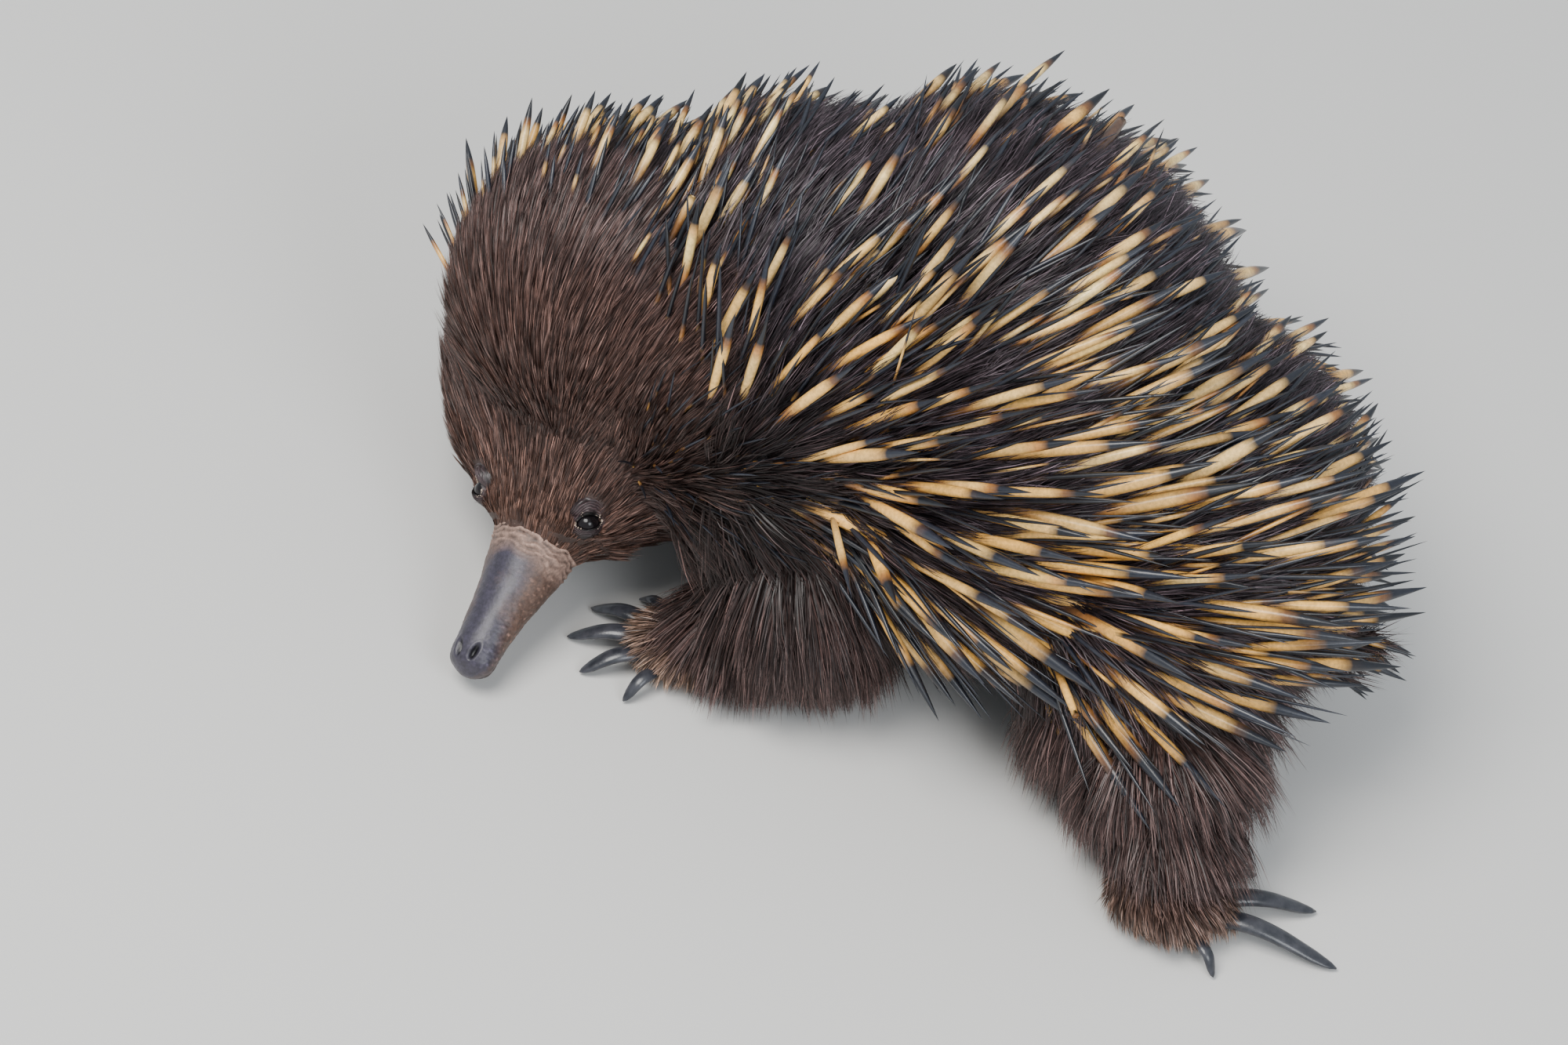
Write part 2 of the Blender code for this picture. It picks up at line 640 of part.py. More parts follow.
def build():
    for obj in list(bpy.data.objects):
        bpy.data.objects.remove(obj)
    home = new_collection("echidna")
    nodes = {}
    masses = [*placed_masses(TRUNK_MASSES), *head_masses()]
    torso = flesh("torso", masses, 0.003, 14, TRIANGLES["trunk"], home)
    neck = add_object("neck", torso.data.copy(), home)
    head = flesh("head", masses, 0.003, 14, TRIANGLES["head"], home)
    half = GAP / 2
    neck_cut = FOLD + BACK * NECK_CUT_BACK
    boolean(torso, "DIFFERENCE", [block_beyond(neck_cut - NECK_CUT * half, NECK_CUT)])
    boolean(neck, "DIFFERENCE", [block_beyond(neck_cut + NECK_CUT * half, -NECK_CUT)])
    boolean(neck, "DIFFERENCE", [block_beyond(FOLD - HEAD_CUT * half, HEAD_CUT)])
    boolean(head, "DIFFERENCE", [block_beyond(FOLD + HEAD_CUT * half, -HEAD_CUT)])
    boolean(head, "DIFFERENCE", [block_beyond(on_head(BEAK_ROOT), FORWARD)])
    boolean(head, "UNION", face_forms())
    boolean(head, "DIFFERENCE", face_hollows())
    nodes["beak"] = build_beak(home)
    for side in (-1, 1):
        eye = build_eye(side, home)
        nodes[eye.name] = eye
    tail = flesh("tail", placed_masses(TAIL_MASSES), 0.002, 8, TRIANGLES["tail"], home)
    boolean(tail, "DIFFERENCE", [swollen(torso.data)])
    nodes.update({"torso": torso, "neck": neck, "head": head, "tail": tail})
    floor = block_beyond(Vector((0, 0, 0)), -UP)
    for leg, leg_parts in LEG_MASSES.items():
        claws = claws_of(leg)
        toes = [(toe, (half_width + 0.0022,) * 3, Matrix.Identity(3)) for _, _, half_width, toe in claws]
        body = flesh(leg, [*placed_masses(leg_parts), *toes], 0.0016, 5, TRIANGLES["leg"], home)
        pockets = [claw(line, across, half_width, GAP) for line, across, half_width, _ in claws]
        others = [swollen(nodes[name].data, GAP * 1.8) for name in ("torso", "neck", "head")]
        boolean(body, "DIFFERENCE", [*others, floor.copy(), *pockets])
        nodes[leg] = body
        for number, (line, across, half_width, _) in enumerate(claws, 1):
            name = leg.replace("leg", "claw") + "_" + str(number)
            nodes[name] = add_object(name, claw(line, across, half_width), home)
    growth = Growth()
    for name, obj in nodes.items():
        growth.know(name, obj)
    grown = {"torso": grow_spines("torso", torso, SPINE_SPACING, spine_length, growth, 3)}
    grown["neck"] = grow_spines("neck", neck, SPINE_SPACING * 0.85, spine_length, growth, 5)
    short = lambda place: TAIL_SPINE_LENGTH
    grown["tail"] = grow_spines("tail", tail, TAIL_SPACING, short, growth, 7, tail_spiny)
    for number, leg in enumerate(LEG_MASSES):
        way = leg_way(leg)
        grown[leg] = grow_locks(leg, nodes[leg], LOCK_SPACING, leg_hairy, way, growth, 21 + number)
    grown["torso"] += grow_locks("torso", torso, LOCK_SPACING, skirt, skirt_way, growth, 31)
    for name, meshes in grown.items():
        boolean(nodes[name], "UNION", meshes)
    places = np.array([v.co[:] for obj in nodes.values() for v in obj.data.vertices])
    middle = (places.min(axis=0) + places.max(axis=0)) / 2
    for name, obj in nodes.items():
        obj.data.transform(Matrix.Translation((-middle[0], -middle[1], 0)))
        kind = "leg" if "leg" in name else "claw" if "claw" in name else "eye" if "eye" in name else name
        paint(obj, kind)


build()
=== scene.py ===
"""A short-beaked echidna as a still, life-size museum model: dressed with skin, fur, spines, eyes, beak and claws."""

import math

import bmesh
import bpy
import numpy as np
from mathutils import Matrix, Vector
from mathutils.bvhtree import BVHTree
from mathutils.kdtree import KDTree


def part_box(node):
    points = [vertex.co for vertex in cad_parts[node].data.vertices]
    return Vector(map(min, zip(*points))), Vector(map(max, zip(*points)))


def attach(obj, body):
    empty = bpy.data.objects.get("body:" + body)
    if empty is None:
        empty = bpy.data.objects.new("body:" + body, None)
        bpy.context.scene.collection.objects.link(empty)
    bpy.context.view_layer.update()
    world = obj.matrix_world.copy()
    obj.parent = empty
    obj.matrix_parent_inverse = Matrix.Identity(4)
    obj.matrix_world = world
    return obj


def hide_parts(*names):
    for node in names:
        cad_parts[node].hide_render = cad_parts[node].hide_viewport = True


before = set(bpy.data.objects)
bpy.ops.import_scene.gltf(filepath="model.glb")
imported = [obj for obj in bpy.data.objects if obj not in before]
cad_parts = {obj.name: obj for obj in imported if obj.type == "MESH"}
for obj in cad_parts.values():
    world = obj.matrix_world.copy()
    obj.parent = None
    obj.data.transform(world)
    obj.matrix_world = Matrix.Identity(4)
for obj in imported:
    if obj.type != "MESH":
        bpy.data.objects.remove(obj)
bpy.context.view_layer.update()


# The skin. One closed hide over the whole body, cast in one piece over the mannikin's head, neck, trunk, tail
# and legs, so that no joint shows. It is thick, dark and wrinkled where it is bare, round the beak and on the toes,
# and it lies under the fur by the fur's own depth.

UP = np.array((0.0, 0.0, 1.0))
BACK = np.array((0.0, 1.0, 0.0))
BETWEEN_EYES = np.array((-0.0118, -0.0755, 0.0432))
HEAD_TURN = math.radians(-24)
HEAD_BOW = math.radians(31)
HEAD_ROLL = math.radians(19)
EYE_SIDE = 0.0190
EYE_LOOK = (0.08, 0.68, 0.73)
BEAK_STATIONS = np.array((0.003, 0.008, 0.014, 0.024, 0.034, 0.043, 0.050, 0.0545, 0.0572))
BEAK_HALF_WIDTHS = np.array((0.0150, 0.0142, 0.0133, 0.0113, 0.0094, 0.0083, 0.0080, 0.0072, 0.0048))
BEAK_HALF_HEIGHTS = np.array((0.0142, 0.0136, 0.0128, 0.0103, 0.0083, 0.0072, 0.0066, 0.0058, 0.0038))
BEAK_RISES = np.array((-0.0091, -0.0090, -0.0090, -0.0085, -0.0072, -0.0062, -0.0060, -0.0064, -0.0070))
NECK_FOLD = np.array((0.018, -0.027, 0.088))
HAIRLINE_PLACE = np.array((-0.080, -0.073, 0.125))
HAIRLINE_WAY = np.array((0.490, -0.830, 0.265)) / math.sqrt(0.49**2 + 0.83**2 + 0.265**2)
HAIRLINE_BLEND = 0.012
SKIN_VOXEL = 0.0013
TOE_HEIGHT = 0.0068
TOE_PADDING = 0.0022

heading = np.array((math.cos(HEAD_TURN), math.sin(HEAD_TURN), 0.0))
FORWARD = heading * math.cos(HEAD_BOW) - UP * math.sin(HEAD_BOW)
level = np.cross(UP, heading)
LEFT = level * math.cos(HEAD_ROLL) + np.cross(FORWARD, level) * math.sin(HEAD_ROLL)
CROWN = np.cross(FORWARD, LEFT)
HEAD_TURNED = np.array((FORWARD, LEFT, CROWN)).T

TRUNK_MASSES = (
    ((-0.016, 0.116, 0.068), (0.080, 0.062, 0.054), -8),
    ((-0.050, 0.058, 0.088), (0.097, 0.082, 0.073), 4),
    ((-0.057, 0.003, 0.083), (0.081, 0.078, 0.067), 12),
    ((-0.064, -0.053, 0.086), (0.058, 0.058, 0.048), 30),
)
HEAD_MASSES = (
    ((-0.048, -0.006, -0.010), (0.046, 0.055, 0.038)),
    ((-0.018, 0.000, -0.011), (0.036, 0.0285, 0.0235)),
    ((0.004, 0.000, -0.009), (0.029, 0.0160, 0.0152)),
)
TAIL_MASSES = (
    ((0.000, 0.152, 0.047), (0.022, 0.026, 0.018), -12),
    ((0.004, 0.166, 0.044), (0.015, 0.017, 0.012), -12),
)
LEG_MASSES = {
    "foreleg_left": (
        ((0.001, 0.012, 0.044), (0.031, 0.034, 0.037), 0),
        ((0.006, -0.003, 0.026), (0.020, 0.022, 0.021), 0),
        ((0.006, -0.020, 0.0085), (0.0150, 0.0170, 0.0095), 0),
    ),
    "foreleg_right": (
        ((-0.112, -0.008, 0.045), (0.029, 0.030, 0.036), 0),
        ((-0.112, -0.024, 0.026), (0.019, 0.021, 0.021), 0),
        ((-0.108, -0.044, 0.0085), (0.0150, 0.0175, 0.0095), 0),
    ),
    "hindleg_left": (
        ((0.033, 0.116, 0.046), (0.036, 0.038, 0.040), 0),
        ((0.070, 0.126, 0.025), (0.023, 0.020, 0.019), 0),
        ((0.093, 0.127, 0.0088), (0.0165, 0.0185, 0.0098), 0),
    ),
    "hindleg_right": (
        ((-0.070, 0.118, 0.046), (0.034, 0.038, 0.040), 0),
        ((-0.103, 0.132, 0.025), (0.022, 0.020, 0.019), 0),
        ((-0.122, 0.138, 0.0088), (0.0165, 0.0185, 0.0098), 0),
    ),
}
FEET = {
    "foreleg_left": (-98, -1, "fore"),
    "foreleg_right": (-80, 1, "fore"),
    "hindleg_left": (88, 1, "hind"),
    "hindleg_right": (100, -1, "hind"),
}
CLAW_TURNS = {"fore": (-52, -24, -1, 22, 48), "hind": (-56, -14, 11, 36, 60)}
CLAW_LENGTHS = {"fore": (0.010, 0.016, 0.019, 0.017, 0.011), "hind": (0.008, 0.034, 0.027, 0.015, 0.010)}
CLAW_WIDTHS = {
    "fore": (0.0044, 0.0058, 0.0062, 0.0060, 0.0046),
    "hind": (0.0038, 0.0068, 0.0064, 0.0050, 0.0040),
}
CLAW_TIP_HEIGHT = 0.0014
CLAW_ROOT_RUN = 0.005


def on_head(forward, left=0.0, crown=0.0):
    """A place from the middle between the eyes, along the head's own directions."""
    return BETWEEN_EYES + FORWARD * forward + LEFT * left + CROWN * crown


# How far the mannikin stands from where these sizes were drawn, read off its left eye.
eye_lowest, eye_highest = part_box("eye_left")
SHIFT = (np.array(eye_lowest) + np.array(eye_highest)) / 2 - on_head(0, EYE_SIDE, 0)
SHIFT[2] = 0.0


def spin(degrees):
    turn = math.radians(degrees)
    return np.array(((math.cos(turn), -math.sin(turn), 0), (math.sin(turn), math.cos(turn), 0), (0, 0, 1)))


def as_placed(masses):
    """Masses as centre, radii and rotation, where the animal stands."""
    return [(np.array(centre) + SHIFT, np.array(radii), spin(turn)) for centre, radii, turn in masses]


# Padding that carries the brow over into the crown, and each thigh into its shank.
BROW_FILLINGS = (
    ((-0.033, 0.0, -0.0105), (0.040, 0.047, 0.0335)),
    ((-0.040, -0.003, -0.0102), (0.0445, 0.0515, 0.0362)),
)
HOCK_FILLINGS = {
    "hindleg_left": ((0.053, 0.121, 0.037), (0.029, 0.028, 0.028), 0),
    "hindleg_right": ((-0.088, 0.126, 0.037), (0.028, 0.028, 0.028), 0),
}
HEAD_FORMS = (*HEAD_MASSES, *BROW_FILLINGS)
MASSES = {
    "head": [(on_head(*place) + SHIFT, np.array(radii), HEAD_TURNED) for place, radii in HEAD_FORMS],
    "trunk": as_placed(TRUNK_MASSES),
    "tail": as_placed(TAIL_MASSES),
}
for leg, leg_masses in LEG_MASSES.items():
    MASSES[leg] = as_placed(leg_masses)
for leg, filling in HOCK_FILLINGS.items():
    MASSES[leg] = as_placed((filling,)) + MASSES[leg]


def claws_of(leg):
    """The line, crosswise direction, width and toe of every claw of a foot."""
    heading_of_foot, inner, kind = FEET[leg]
    foot, radii, _ = MASSES[leg][-1]
    found = []
    for turn, length, width in zip(CLAW_TURNS[kind], CLAW_LENGTHS[kind], CLAW_WIDTHS[kind]):
        angle = math.radians(heading_of_foot + turn * inner)
        ahead = np.array((math.cos(angle), math.sin(angle), 0.0))
        reach = 1 / math.hypot(ahead[0] / radii[0], ahead[1] / radii[1])
        toe = foot + ahead * (reach - 0.001)
        toe[2] = TOE_HEIGHT
        start = toe + ahead * 0.0005
        drop = start[2] - CLAW_TIP_HEIGHT
        line = [
            start,
            start + ahead * (CLAW_ROOT_RUN + length * 0.25) + UP * length * 0.03,
            start + ahead * (CLAW_ROOT_RUN + length * 0.62) - UP * drop * 0.36,
            start + ahead * (CLAW_ROOT_RUN + length) - UP * drop,
        ]
        found.append((np.array(line), np.cross(UP, ahead), width, toe))
    return found


def new_object(name, mesh):
    """Puts a mesh, a lamp or a camera in the scene."""
    made = bpy.data.objects.new(name, mesh)
    bpy.context.scene.collection.objects.link(made)
    return made


def ball_mesh(masses, segments=40, rings=26):
    """One mesh of ellipsoids that overlap."""
    body = bmesh.new()
    for centre, radii, turned in masses:
        place = Matrix.Translation(centre) @ Matrix(turned.tolist()).to_4x4() @ Matrix.Diagonal((*radii, 1))
        bmesh.ops.create_uvsphere(body, u_segments=segments, v_segments=rings, radius=1, matrix=place)
    mesh = bpy.data.meshes.new("masses")
    body.to_mesh(mesh)
    body.free()
    return mesh


def settled(obj):
    """Applies an object's modifiers to its mesh."""
    graph = bpy.context.evaluated_depsgraph_get()
    mesh = bpy.data.meshes.new_from_object(obj.evaluated_get(graph), depsgraph=graph)
    obj.modifiers.clear()
    obj.data = mesh
    return obj


def melted(name, mesh, voxel, rounds):
    """Closes overlapping forms into one smooth body."""
    obj = new_object(name, mesh)
    melt = obj.modifiers.new("melt", "REMESH")
    melt.mode = "VOXEL"
    melt.voxel_size = voxel
    soften = obj.modifiers.new("soften", "SMOOTH")
    soften.factor = 0.5
    soften.iterations = rounds
    return settled(obj)


def joined(meshes):
    """One mesh of several, still separate inside it."""
    body = bmesh.new()
    for mesh in meshes:
        body.from_mesh(mesh)
    bmesh.ops.recalc_face_normals(body, faces=body.faces)
    made = bpy.data.meshes.new("joined")
    body.to_mesh(made)
    body.free()
    return made


def unit(vectors):
    return vectors / np.maximum(np.linalg.norm(vectors, axis=-1, keepdims=True), 1e-12)


def depth_outside(mass, points):
    """Roughly how far points lie outside an ellipsoid, in metres."""
    centre, radii, turned = mass
    local = (points - centre) @ turned
    near = np.linalg.norm(local / radii, axis=1)
    steep = np.linalg.norm(local / radii**2, axis=1)
    return near * (near - 1) / np.maximum(steep, 1e-9)


def shares(points, blend=0.006):
    """How much each point belongs to each region of the body, blended over a few millimetres."""
    found = {}
    for region, masses in MASSES.items():
        nearest = np.min([depth_outside(mass, points) for mass in masses], axis=0)
        found[region] = np.exp(-np.clip(nearest, -0.05, 0.2) / blend)
    total = sum(found.values())
    found = {region: share / total for region, share in found.items()}
    home = points - SHIFT
    before = np.clip((home - HAIRLINE_PLACE) @ HAIRLINE_WAY / HAIRLINE_BLEND + 0.5, 0, 1)
    moved = found["trunk"] * before * np.clip((home[:, 2] - 0.055) / 0.020, 0, 1)
    found["head"] = found["head"] + moved
    found["trunk"] = found["trunk"] - moved
    return found


def leg_share(share):
    """How much each point belongs to any of the legs."""
    return sum(share[leg] for leg in LEG_MASSES)


def ramp(values, stops, levels):
    return np.interp(values, stops, levels)


def head_place(points):
    """Forward, left and crown distances of points from between the eyes."""
    return (points - SHIFT - BETWEEN_EYES) @ HEAD_TURNED


def ripple(points, length, seed):
    """Soft random waves through space, from about -1 to 1."""
    rng = np.random.default_rng(seed)
    total = np.zeros(len(points))
    for _ in range(7):
        way = unit(rng.normal(size=3))
        total += np.sin(points @ way * math.tau / (length * rng.uniform(0.7, 1.5)) + rng.uniform(0, math.tau))
    return total / 4.2


def coat_depth(points):
    """How deep the skin lies under the surface of the coat."""
    share = shares(points)
    legs = leg_share(share)
    bare = ramp(head_place(points)[:, 0], (-0.035, -0.010, 0.006), (0.0030, 0.0018, 0.0006))
    on_legs = ramp(points[:, 2], (0.008, 0.020, 0.035), (0.0, 0.0012, 0.0030))
    return share["head"] * bare + legs * on_legs + (share["trunk"] + share["tail"]) * 0.0040


def eye_frame(side):
    """An eye's middle, the long way of its slit, the way to its upper lid, and the way it looks."""
    looking = unit(FORWARD * EYE_LOOK[0] + LEFT * side * EYE_LOOK[1] + CROWN * EYE_LOOK[2])
    slit = LEFT * side - FORWARD * 0.5
    slit = unit(slit - looking * slit.dot(looking))
    return on_head(0, side * EYE_SIDE, 0) + SHIFT, slit, np.cross(looking, slit) * side, looking


LID_REACH = (0.0054, 0.0066, 0.0120)
LID_MIDDLE = 0.0023


def lid_reach(points):
    """How far points lie from the nearer eye, where 1 is the edge of its bare lids."""
    found = []
    for side in (-1, 1):
        eye, slit, lifted, looking = eye_frame(side)
        away = points - eye
        flat = np.hypot(away @ slit / LID_REACH[0], (away @ lifted - LID_MIDDLE) / LID_REACH[1])
        found.append(np.hypot(flat, away @ looking / LID_REACH[2]))
    return np.minimum(*found)


def build_skin():
    """Melts head, neck and trunk together, then tail, legs and toes to them."""
    trunk = melted("trunk", ball_mesh(MASSES["trunk"] + MASSES["head"]), 0.003, 22)
    limbs = [melted("tail", ball_mesh(MASSES["tail"]), 0.002, 8)]
    for leg in LEG_MASSES:
        toes = [(toe, np.full(3, width / 2 + TOE_PADDING), np.eye(3)) for _, _, width, toe in claws_of(leg)]
        limbs.append(melted(leg, ball_mesh(MASSES[leg] + toes), 0.0016, 5))
    skin = melted("skin", joined([trunk.data] + [limb.data for limb in limbs]), SKIN_VOXEL, 5)
    for obj in [trunk, *limbs]:
        bpy.data.objects.remove(obj)
    return skin


def numbers(mesh):
    """A mesh's points, normals and triangles as arrays."""
    points = np.empty(len(mesh.vertices) * 3, np.float32)
    mesh.vertices.foreach_get("co", points)
    normals = np.empty(len(mesh.vertices) * 3, np.float32)
    mesh.vertices.foreach_get("normal", normals)
    mesh.calc_loop_triangles()
    triangles = np.empty(len(mesh.loop_triangles) * 3, np.int32)
    mesh.loop_triangles.foreach_get("vertices", triangles)
    return points.reshape(-1, 3).astype(float), normals.reshape(-1, 3).astype(float), triangles.reshape(-1, 3)


def tuck_behind_beak(points):
    """Draws the skin in where it passes under the root of the beak."""
    place = head_place(points)
    wide = ramp(place[:, 0], BEAK_STATIONS, BEAK_HALF_WIDTHS)
    tall = ramp(place[:, 0], BEAK_STATIONS, BEAK_HALF_HEIGHTS)
    rise = ramp(place[:, 0], BEAK_STATIONS, BEAK_RISES)
    out = np.hypot(place[:, 1] / wide, (place[:, 2] - rise) / tall)
    most = ramp(place[:, 0], (0.003, 0.0085, 0.012, 0.030), (1.35, 1.03, 0.90, 0.55))
    drawn = np.where((place[:, 0] > 0.003) & (out < 1.9), np.minimum(1, most / np.maximum(out, 1e-6)), 1)
    place[:, 1] *= drawn
    place[:, 2] = rise + (place[:, 2] - rise) * drawn
    return BETWEEN_EYES + SHIFT + place @ HEAD_TURNED.T


MOUND_EDGE, MOUND_SLOPE, MOUND_HEIGHT = 0.0140, 0.0085, 0.0012
SOCKET_EDGE, SOCKET_SLOPE, SOCKET_DEPTH = 0.0036, 0.0010, 0.0050


def shape_skin(skin):
    """Sinks the skin under the coat, draws it in at the beak and opens the sockets."""
    points, normals, _ = numbers(skin.data)
    moved = tuck_behind_beak(points - normals * coat_depth(points)[:, None])
    for side in (-1, 1):
        eye, _, _, looking = eye_frame(side)
        away = moved - eye
        along = away @ looking
        aside = np.linalg.norm(away - along[:, None] * looking, axis=1)
        mound = np.clip((MOUND_EDGE - aside) / MOUND_SLOPE, 0, 1) * (along > -0.004)
        moved += looking * (mound * mound * (3 - 2 * mound) * MOUND_HEIGHT)[:, None]
        opening = np.clip((SOCKET_EDGE - aside) / SOCKET_SLOPE, 0, 1) * (along > -0.002)
        moved -= looking * (opening * SOCKET_DEPTH)[:, None]
    moved[:, 2] = np.maximum(moved[:, 2], 0.0)
    skin.data.vertices.foreach_set("co", moved.astype(np.float32).ravel())
    skin.data.update()
    for face in skin.data.polygons:
        face.use_smooth = True


BACK_TONE = np.array((0.045, 0.033, 0.039))
CROWN_TONE = np.array((0.058, 0.031, 0.025))
FACE_TONE = np.array((0.076, 0.039, 0.028))
LEG_TONE = np.array((0.046, 0.026, 0.023))
TOE_TONE = np.array((0.240, 0.150, 0.100))
# Painted shade: the skin is coloured darker than the coat, for the shadow the fur casts on it.
UNDER_FUR_PAINTED_SHADE = 0.6


def coat_colour(points):
    """The colour of the coat and of the skin under it at a place, the same for both before the skin's painted shade.
    """
    share = shares(points)
    place = head_place(points)
    behind = ramp(-place[:, 0], (0.040, 0.075, 0.110), (0, 0.25, 0.70))[:, None]
    by_beak = ramp(place[:, 0], (-0.030, -0.006, 0.010), (0, 0.35, 1.0))[:, None]
    head = CROWN_TONE * (1 - behind) + BACK_TONE * behind
    head = head * (1 - by_beak) + FACE_TONE * by_beak
    low = ramp(points[:, 2] - ramp((points - SHIFT)[:, 1], (0, 0.05), (0.03, 0)), (0.050, 0.090), (1, 0))[:, None]
    body = LEG_TONE * low + BACK_TONE * (1 - low)
    colour = head * share["head"][:, None] + body * (share["trunk"] + share["tail"])[:, None]
    for leg in LEG_MASSES:
        low_down = ramp(points[:, 2], (0.006, 0.013, 0.020), (1, 0.45, 0) if "fore" in leg else (0.5, 0.2, 0))[:, None]
        colour += (LEG_TONE * (1 - low_down) + TOE_TONE * low_down) * share[leg][:, None]
    from_fold = np.linalg.norm(points - SHIFT - NECK_FOLD, axis=1)
    widely = ramp(from_fold, (0.012, 0.040, 0.075), (0.42, 0.72, 1))
    by_fold = widely + (ramp(from_fold, (0.012, 0.042), (0.42, 1)) - widely) * share["head"]
    return colour * (by_fold * (1 + (0.22 - 0.14 * share["head"]) * ripple(points, 0.015, 21)))[:, None]


def paint_points(mesh, colours):
    """Keeps a colour for every point of a mesh under the name coat_tone."""
    layer = mesh.attributes.get("coat_tone") or mesh.attributes.new("coat_tone", "FLOAT_COLOR", "POINT")
    rgba = np.ones((len(mesh.vertices), 4), np.float32)
    rgba[:, :3] = np.clip(colours, 0, 1)
    layer.data.foreach_set("color", rgba.ravel())


def link(tree, start, end):
    tree.links.new(start, end)


def node(tree, kind, **values):
    """A shader node, with values for its sockets or for its own settings."""
    made = tree.nodes.new(kind)
    for name, value in values.items():
        if name in made.inputs:
            made.inputs[name].default_value = value
        else:
            setattr(made, name.lower(), value)
    return made


def fresh_material(name):
    made = bpy.data.materials.new(name)
    made.use_nodes = True
    return made, made.node_tree, made.node_tree.nodes["Principled BSDF"]


def texture(tree, kind, **values):
    """A texture that runs through a piece's own space."""
    made = node(tree, kind, **values)
    where = node(tree, "ShaderNodeTexCoord")
    link(tree, where.outputs["Object"], made.inputs["Vector"])
    return made


def use_tone(tree, shader, noise, lowest, highest, middle=0.18):
    """Feeds the tone kept on the points, made lighter and darker by a noise, to a shader's colour."""
    tone = node(tree, "ShaderNodeAttribute", attribute_name="coat_tone")
    shade = node(tree, "ShaderNodeMapRange")
    ends = {"From Min": 0.5 - middle, "From Max": 0.5 + middle, "To Min": lowest, "To Max": highest}
    for end, value in ends.items():
        shade.inputs[end].default_value = value
    link(tree, noise.outputs["Fac"], shade.inputs["Value"])
    mixed = tree.nodes.new("ShaderNodeVectorMath")
    mixed.operation = "SCALE"
    link(tree, tone.outputs["Color"], mixed.inputs[0])
    link(tree, shade.outputs["Result"], mixed.inputs["Scale"])
    link(tree, mixed.outputs["Vector"], shader.inputs["Base Color"])
    return tone


def use_grain(tree, shader, height, strength, distance):
    """Gives a surface fine relief from one output of a texture."""
    bump = node(tree, "ShaderNodeBump", Strength=strength, Distance=distance)
    link(tree, height, bump.inputs["Height"])
    link(tree, bump.outputs["Normal"], shader.inputs["Normal"])


def skin_material():
    """Dark wrinkled hide, with the coat's own markings darkened by a painted shade from the fur, and a fine pebbled
    grain.
    """
    made, tree, shader = fresh_material("bare_hide")
    pebbles = texture(tree, "ShaderNodeTexVoronoi", Scale=900.0)
    pebbles.feature = "DISTANCE_TO_EDGE"
    mottle = texture(tree, "ShaderNodeTexNoise", Scale=160.0, Detail=6.0, Roughness=0.6)
    use_tone(tree, shader, mottle, 0.6, 1.35, middle=0.2)
    use_grain(tree, shader, pebbles.outputs["Distance"], 0.55, 0.0004)
    shader.inputs["Roughness"].default_value = 0.62
    return made


skin = build_skin()
shape_skin(skin)
skin_points, skin_normals, skin_triangles = numbers(skin.data)
# The skin's colour is the coat's, darkened by a painted shade for the shadow of the fur over it.
paint_points(skin.data, coat_colour(skin_points) * UNDER_FUR_PAINTED_SHADE)
skin.data.materials.clear()
skin.data.materials.append(skin_material())
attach(skin, "root")
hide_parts("head", "neck", "torso", "tail", *LEG_MASSES)


# The spines. Hollow horny quills, cream with a browner root and a long glossy blue-black point, each set in its own
# pocket of the hide and lying backwards through the fur. Between them stand thin dark bristles. They are cast one
# by one and planted in the skin, shortest on the nape and longest low on the flanks.

SPINE_SPACING, SPINE_DENSITY = 0.0082, 90000.0
BRISTLE_SPACING, BRISTLE_DENSITY = 0.0052, 200000.0
FOLD_SPACING, FOLD_DENSITY = 0.0044, 160000.0
CROWN_FRINGE = 0.014
SPINE_RADIUS = 0.0020
SPINE_ROOT = 0.004
SKIN_UNDER = 0.0040
CLEAR_OF_FLOOR = 0.004
TOUCH_ALLOWED = 0.0014
SPINE_RINGS = np.array((0.0, 0.10, 0.22, 0.34, 0.46, 0.56, 0.65, 0.74, 0.83, 0.91, 0.97, 1.0))
SPINE_SWELL = np.array((0.50, 0.68, 0.86, 0.97, 1.00, 0.93, 0.78, 0.59, 0.40, 0.22, 0.10, 0.02))
SPINE_SIDES = 8
BRISTLE_SIDES = 5
BARE_FOLD = 0.0245


def trunk_midline(y):
    """Where the ridge of the back lies across, at a place along it."""
    return np.interp(y, (-0.050, 0.000, 0.060, 0.116, 0.170), (-0.062, -0.056, -0.050, -0.016, 0.000))


def down_flank(points):
    """Degrees down from the midline of the back, negative on the side away from the turned face."""
    home = points - SHIFT
    return np.degrees(np.arctan2(home[:, 0] - trunk_midline(home[:, 1]), home[:, 2] - 0.078))


def flatten(ways, normals):
    """Turns directions into the plane of the skin."""
    ways = ways - normals * np.sum(ways * normals, axis=1, keepdims=True)
    return unit(ways)


def trunk_lie(points, normals):
    """The lie of the coat: fanned from the neck's fold, then backwards, over the top and down the far flank."""
    home = points - SHIFT
    down = down_flank(points)
    around = (-110, -60, -25, 10, 35, 60, 100)
    over = ramp(down, around, (0.2, 0.9, 1.5, 1.1, 0.55, 0.2, 0.0))
    rise = ramp(down, around, (-0.6, -0.5, 0.0, 0.15, 0.55, 0.4, -0.05)) - ramp(down, (100, 125), (0, 0.35))
    by_neck = ramp(home[:, 1], (-0.070, 0.030), (1, 0))[:, None]
    way = BACK + np.stack((-over, np.zeros(len(points)), rise), axis=1)
    aside = np.clip(down / 40, 0, 1)[:, None] * 0.6
    way = way * (1 - by_neck) + (BACK * aside - FORWARD * 1.2) * by_neck
    from_fold = home - NECK_FOLD
    outward = unit(from_fold)
    leaving = np.clip(outward @ BACK * 1.5 + 1.0, 0, 1)[:, None]
    fanned = outward * leaving + BACK * (1 - leaving)
    below = ramp(down, (0, 15, 70, 100), (0, 1, 1, 0.35))
    near_fold = np.exp(-((np.linalg.norm(from_fold, axis=1) / 0.060) ** 2)) * below
    way = way * (1 - near_fold[:, None]) + fanned * near_fold[:, None] * 1.4
    return flatten(way, normals)


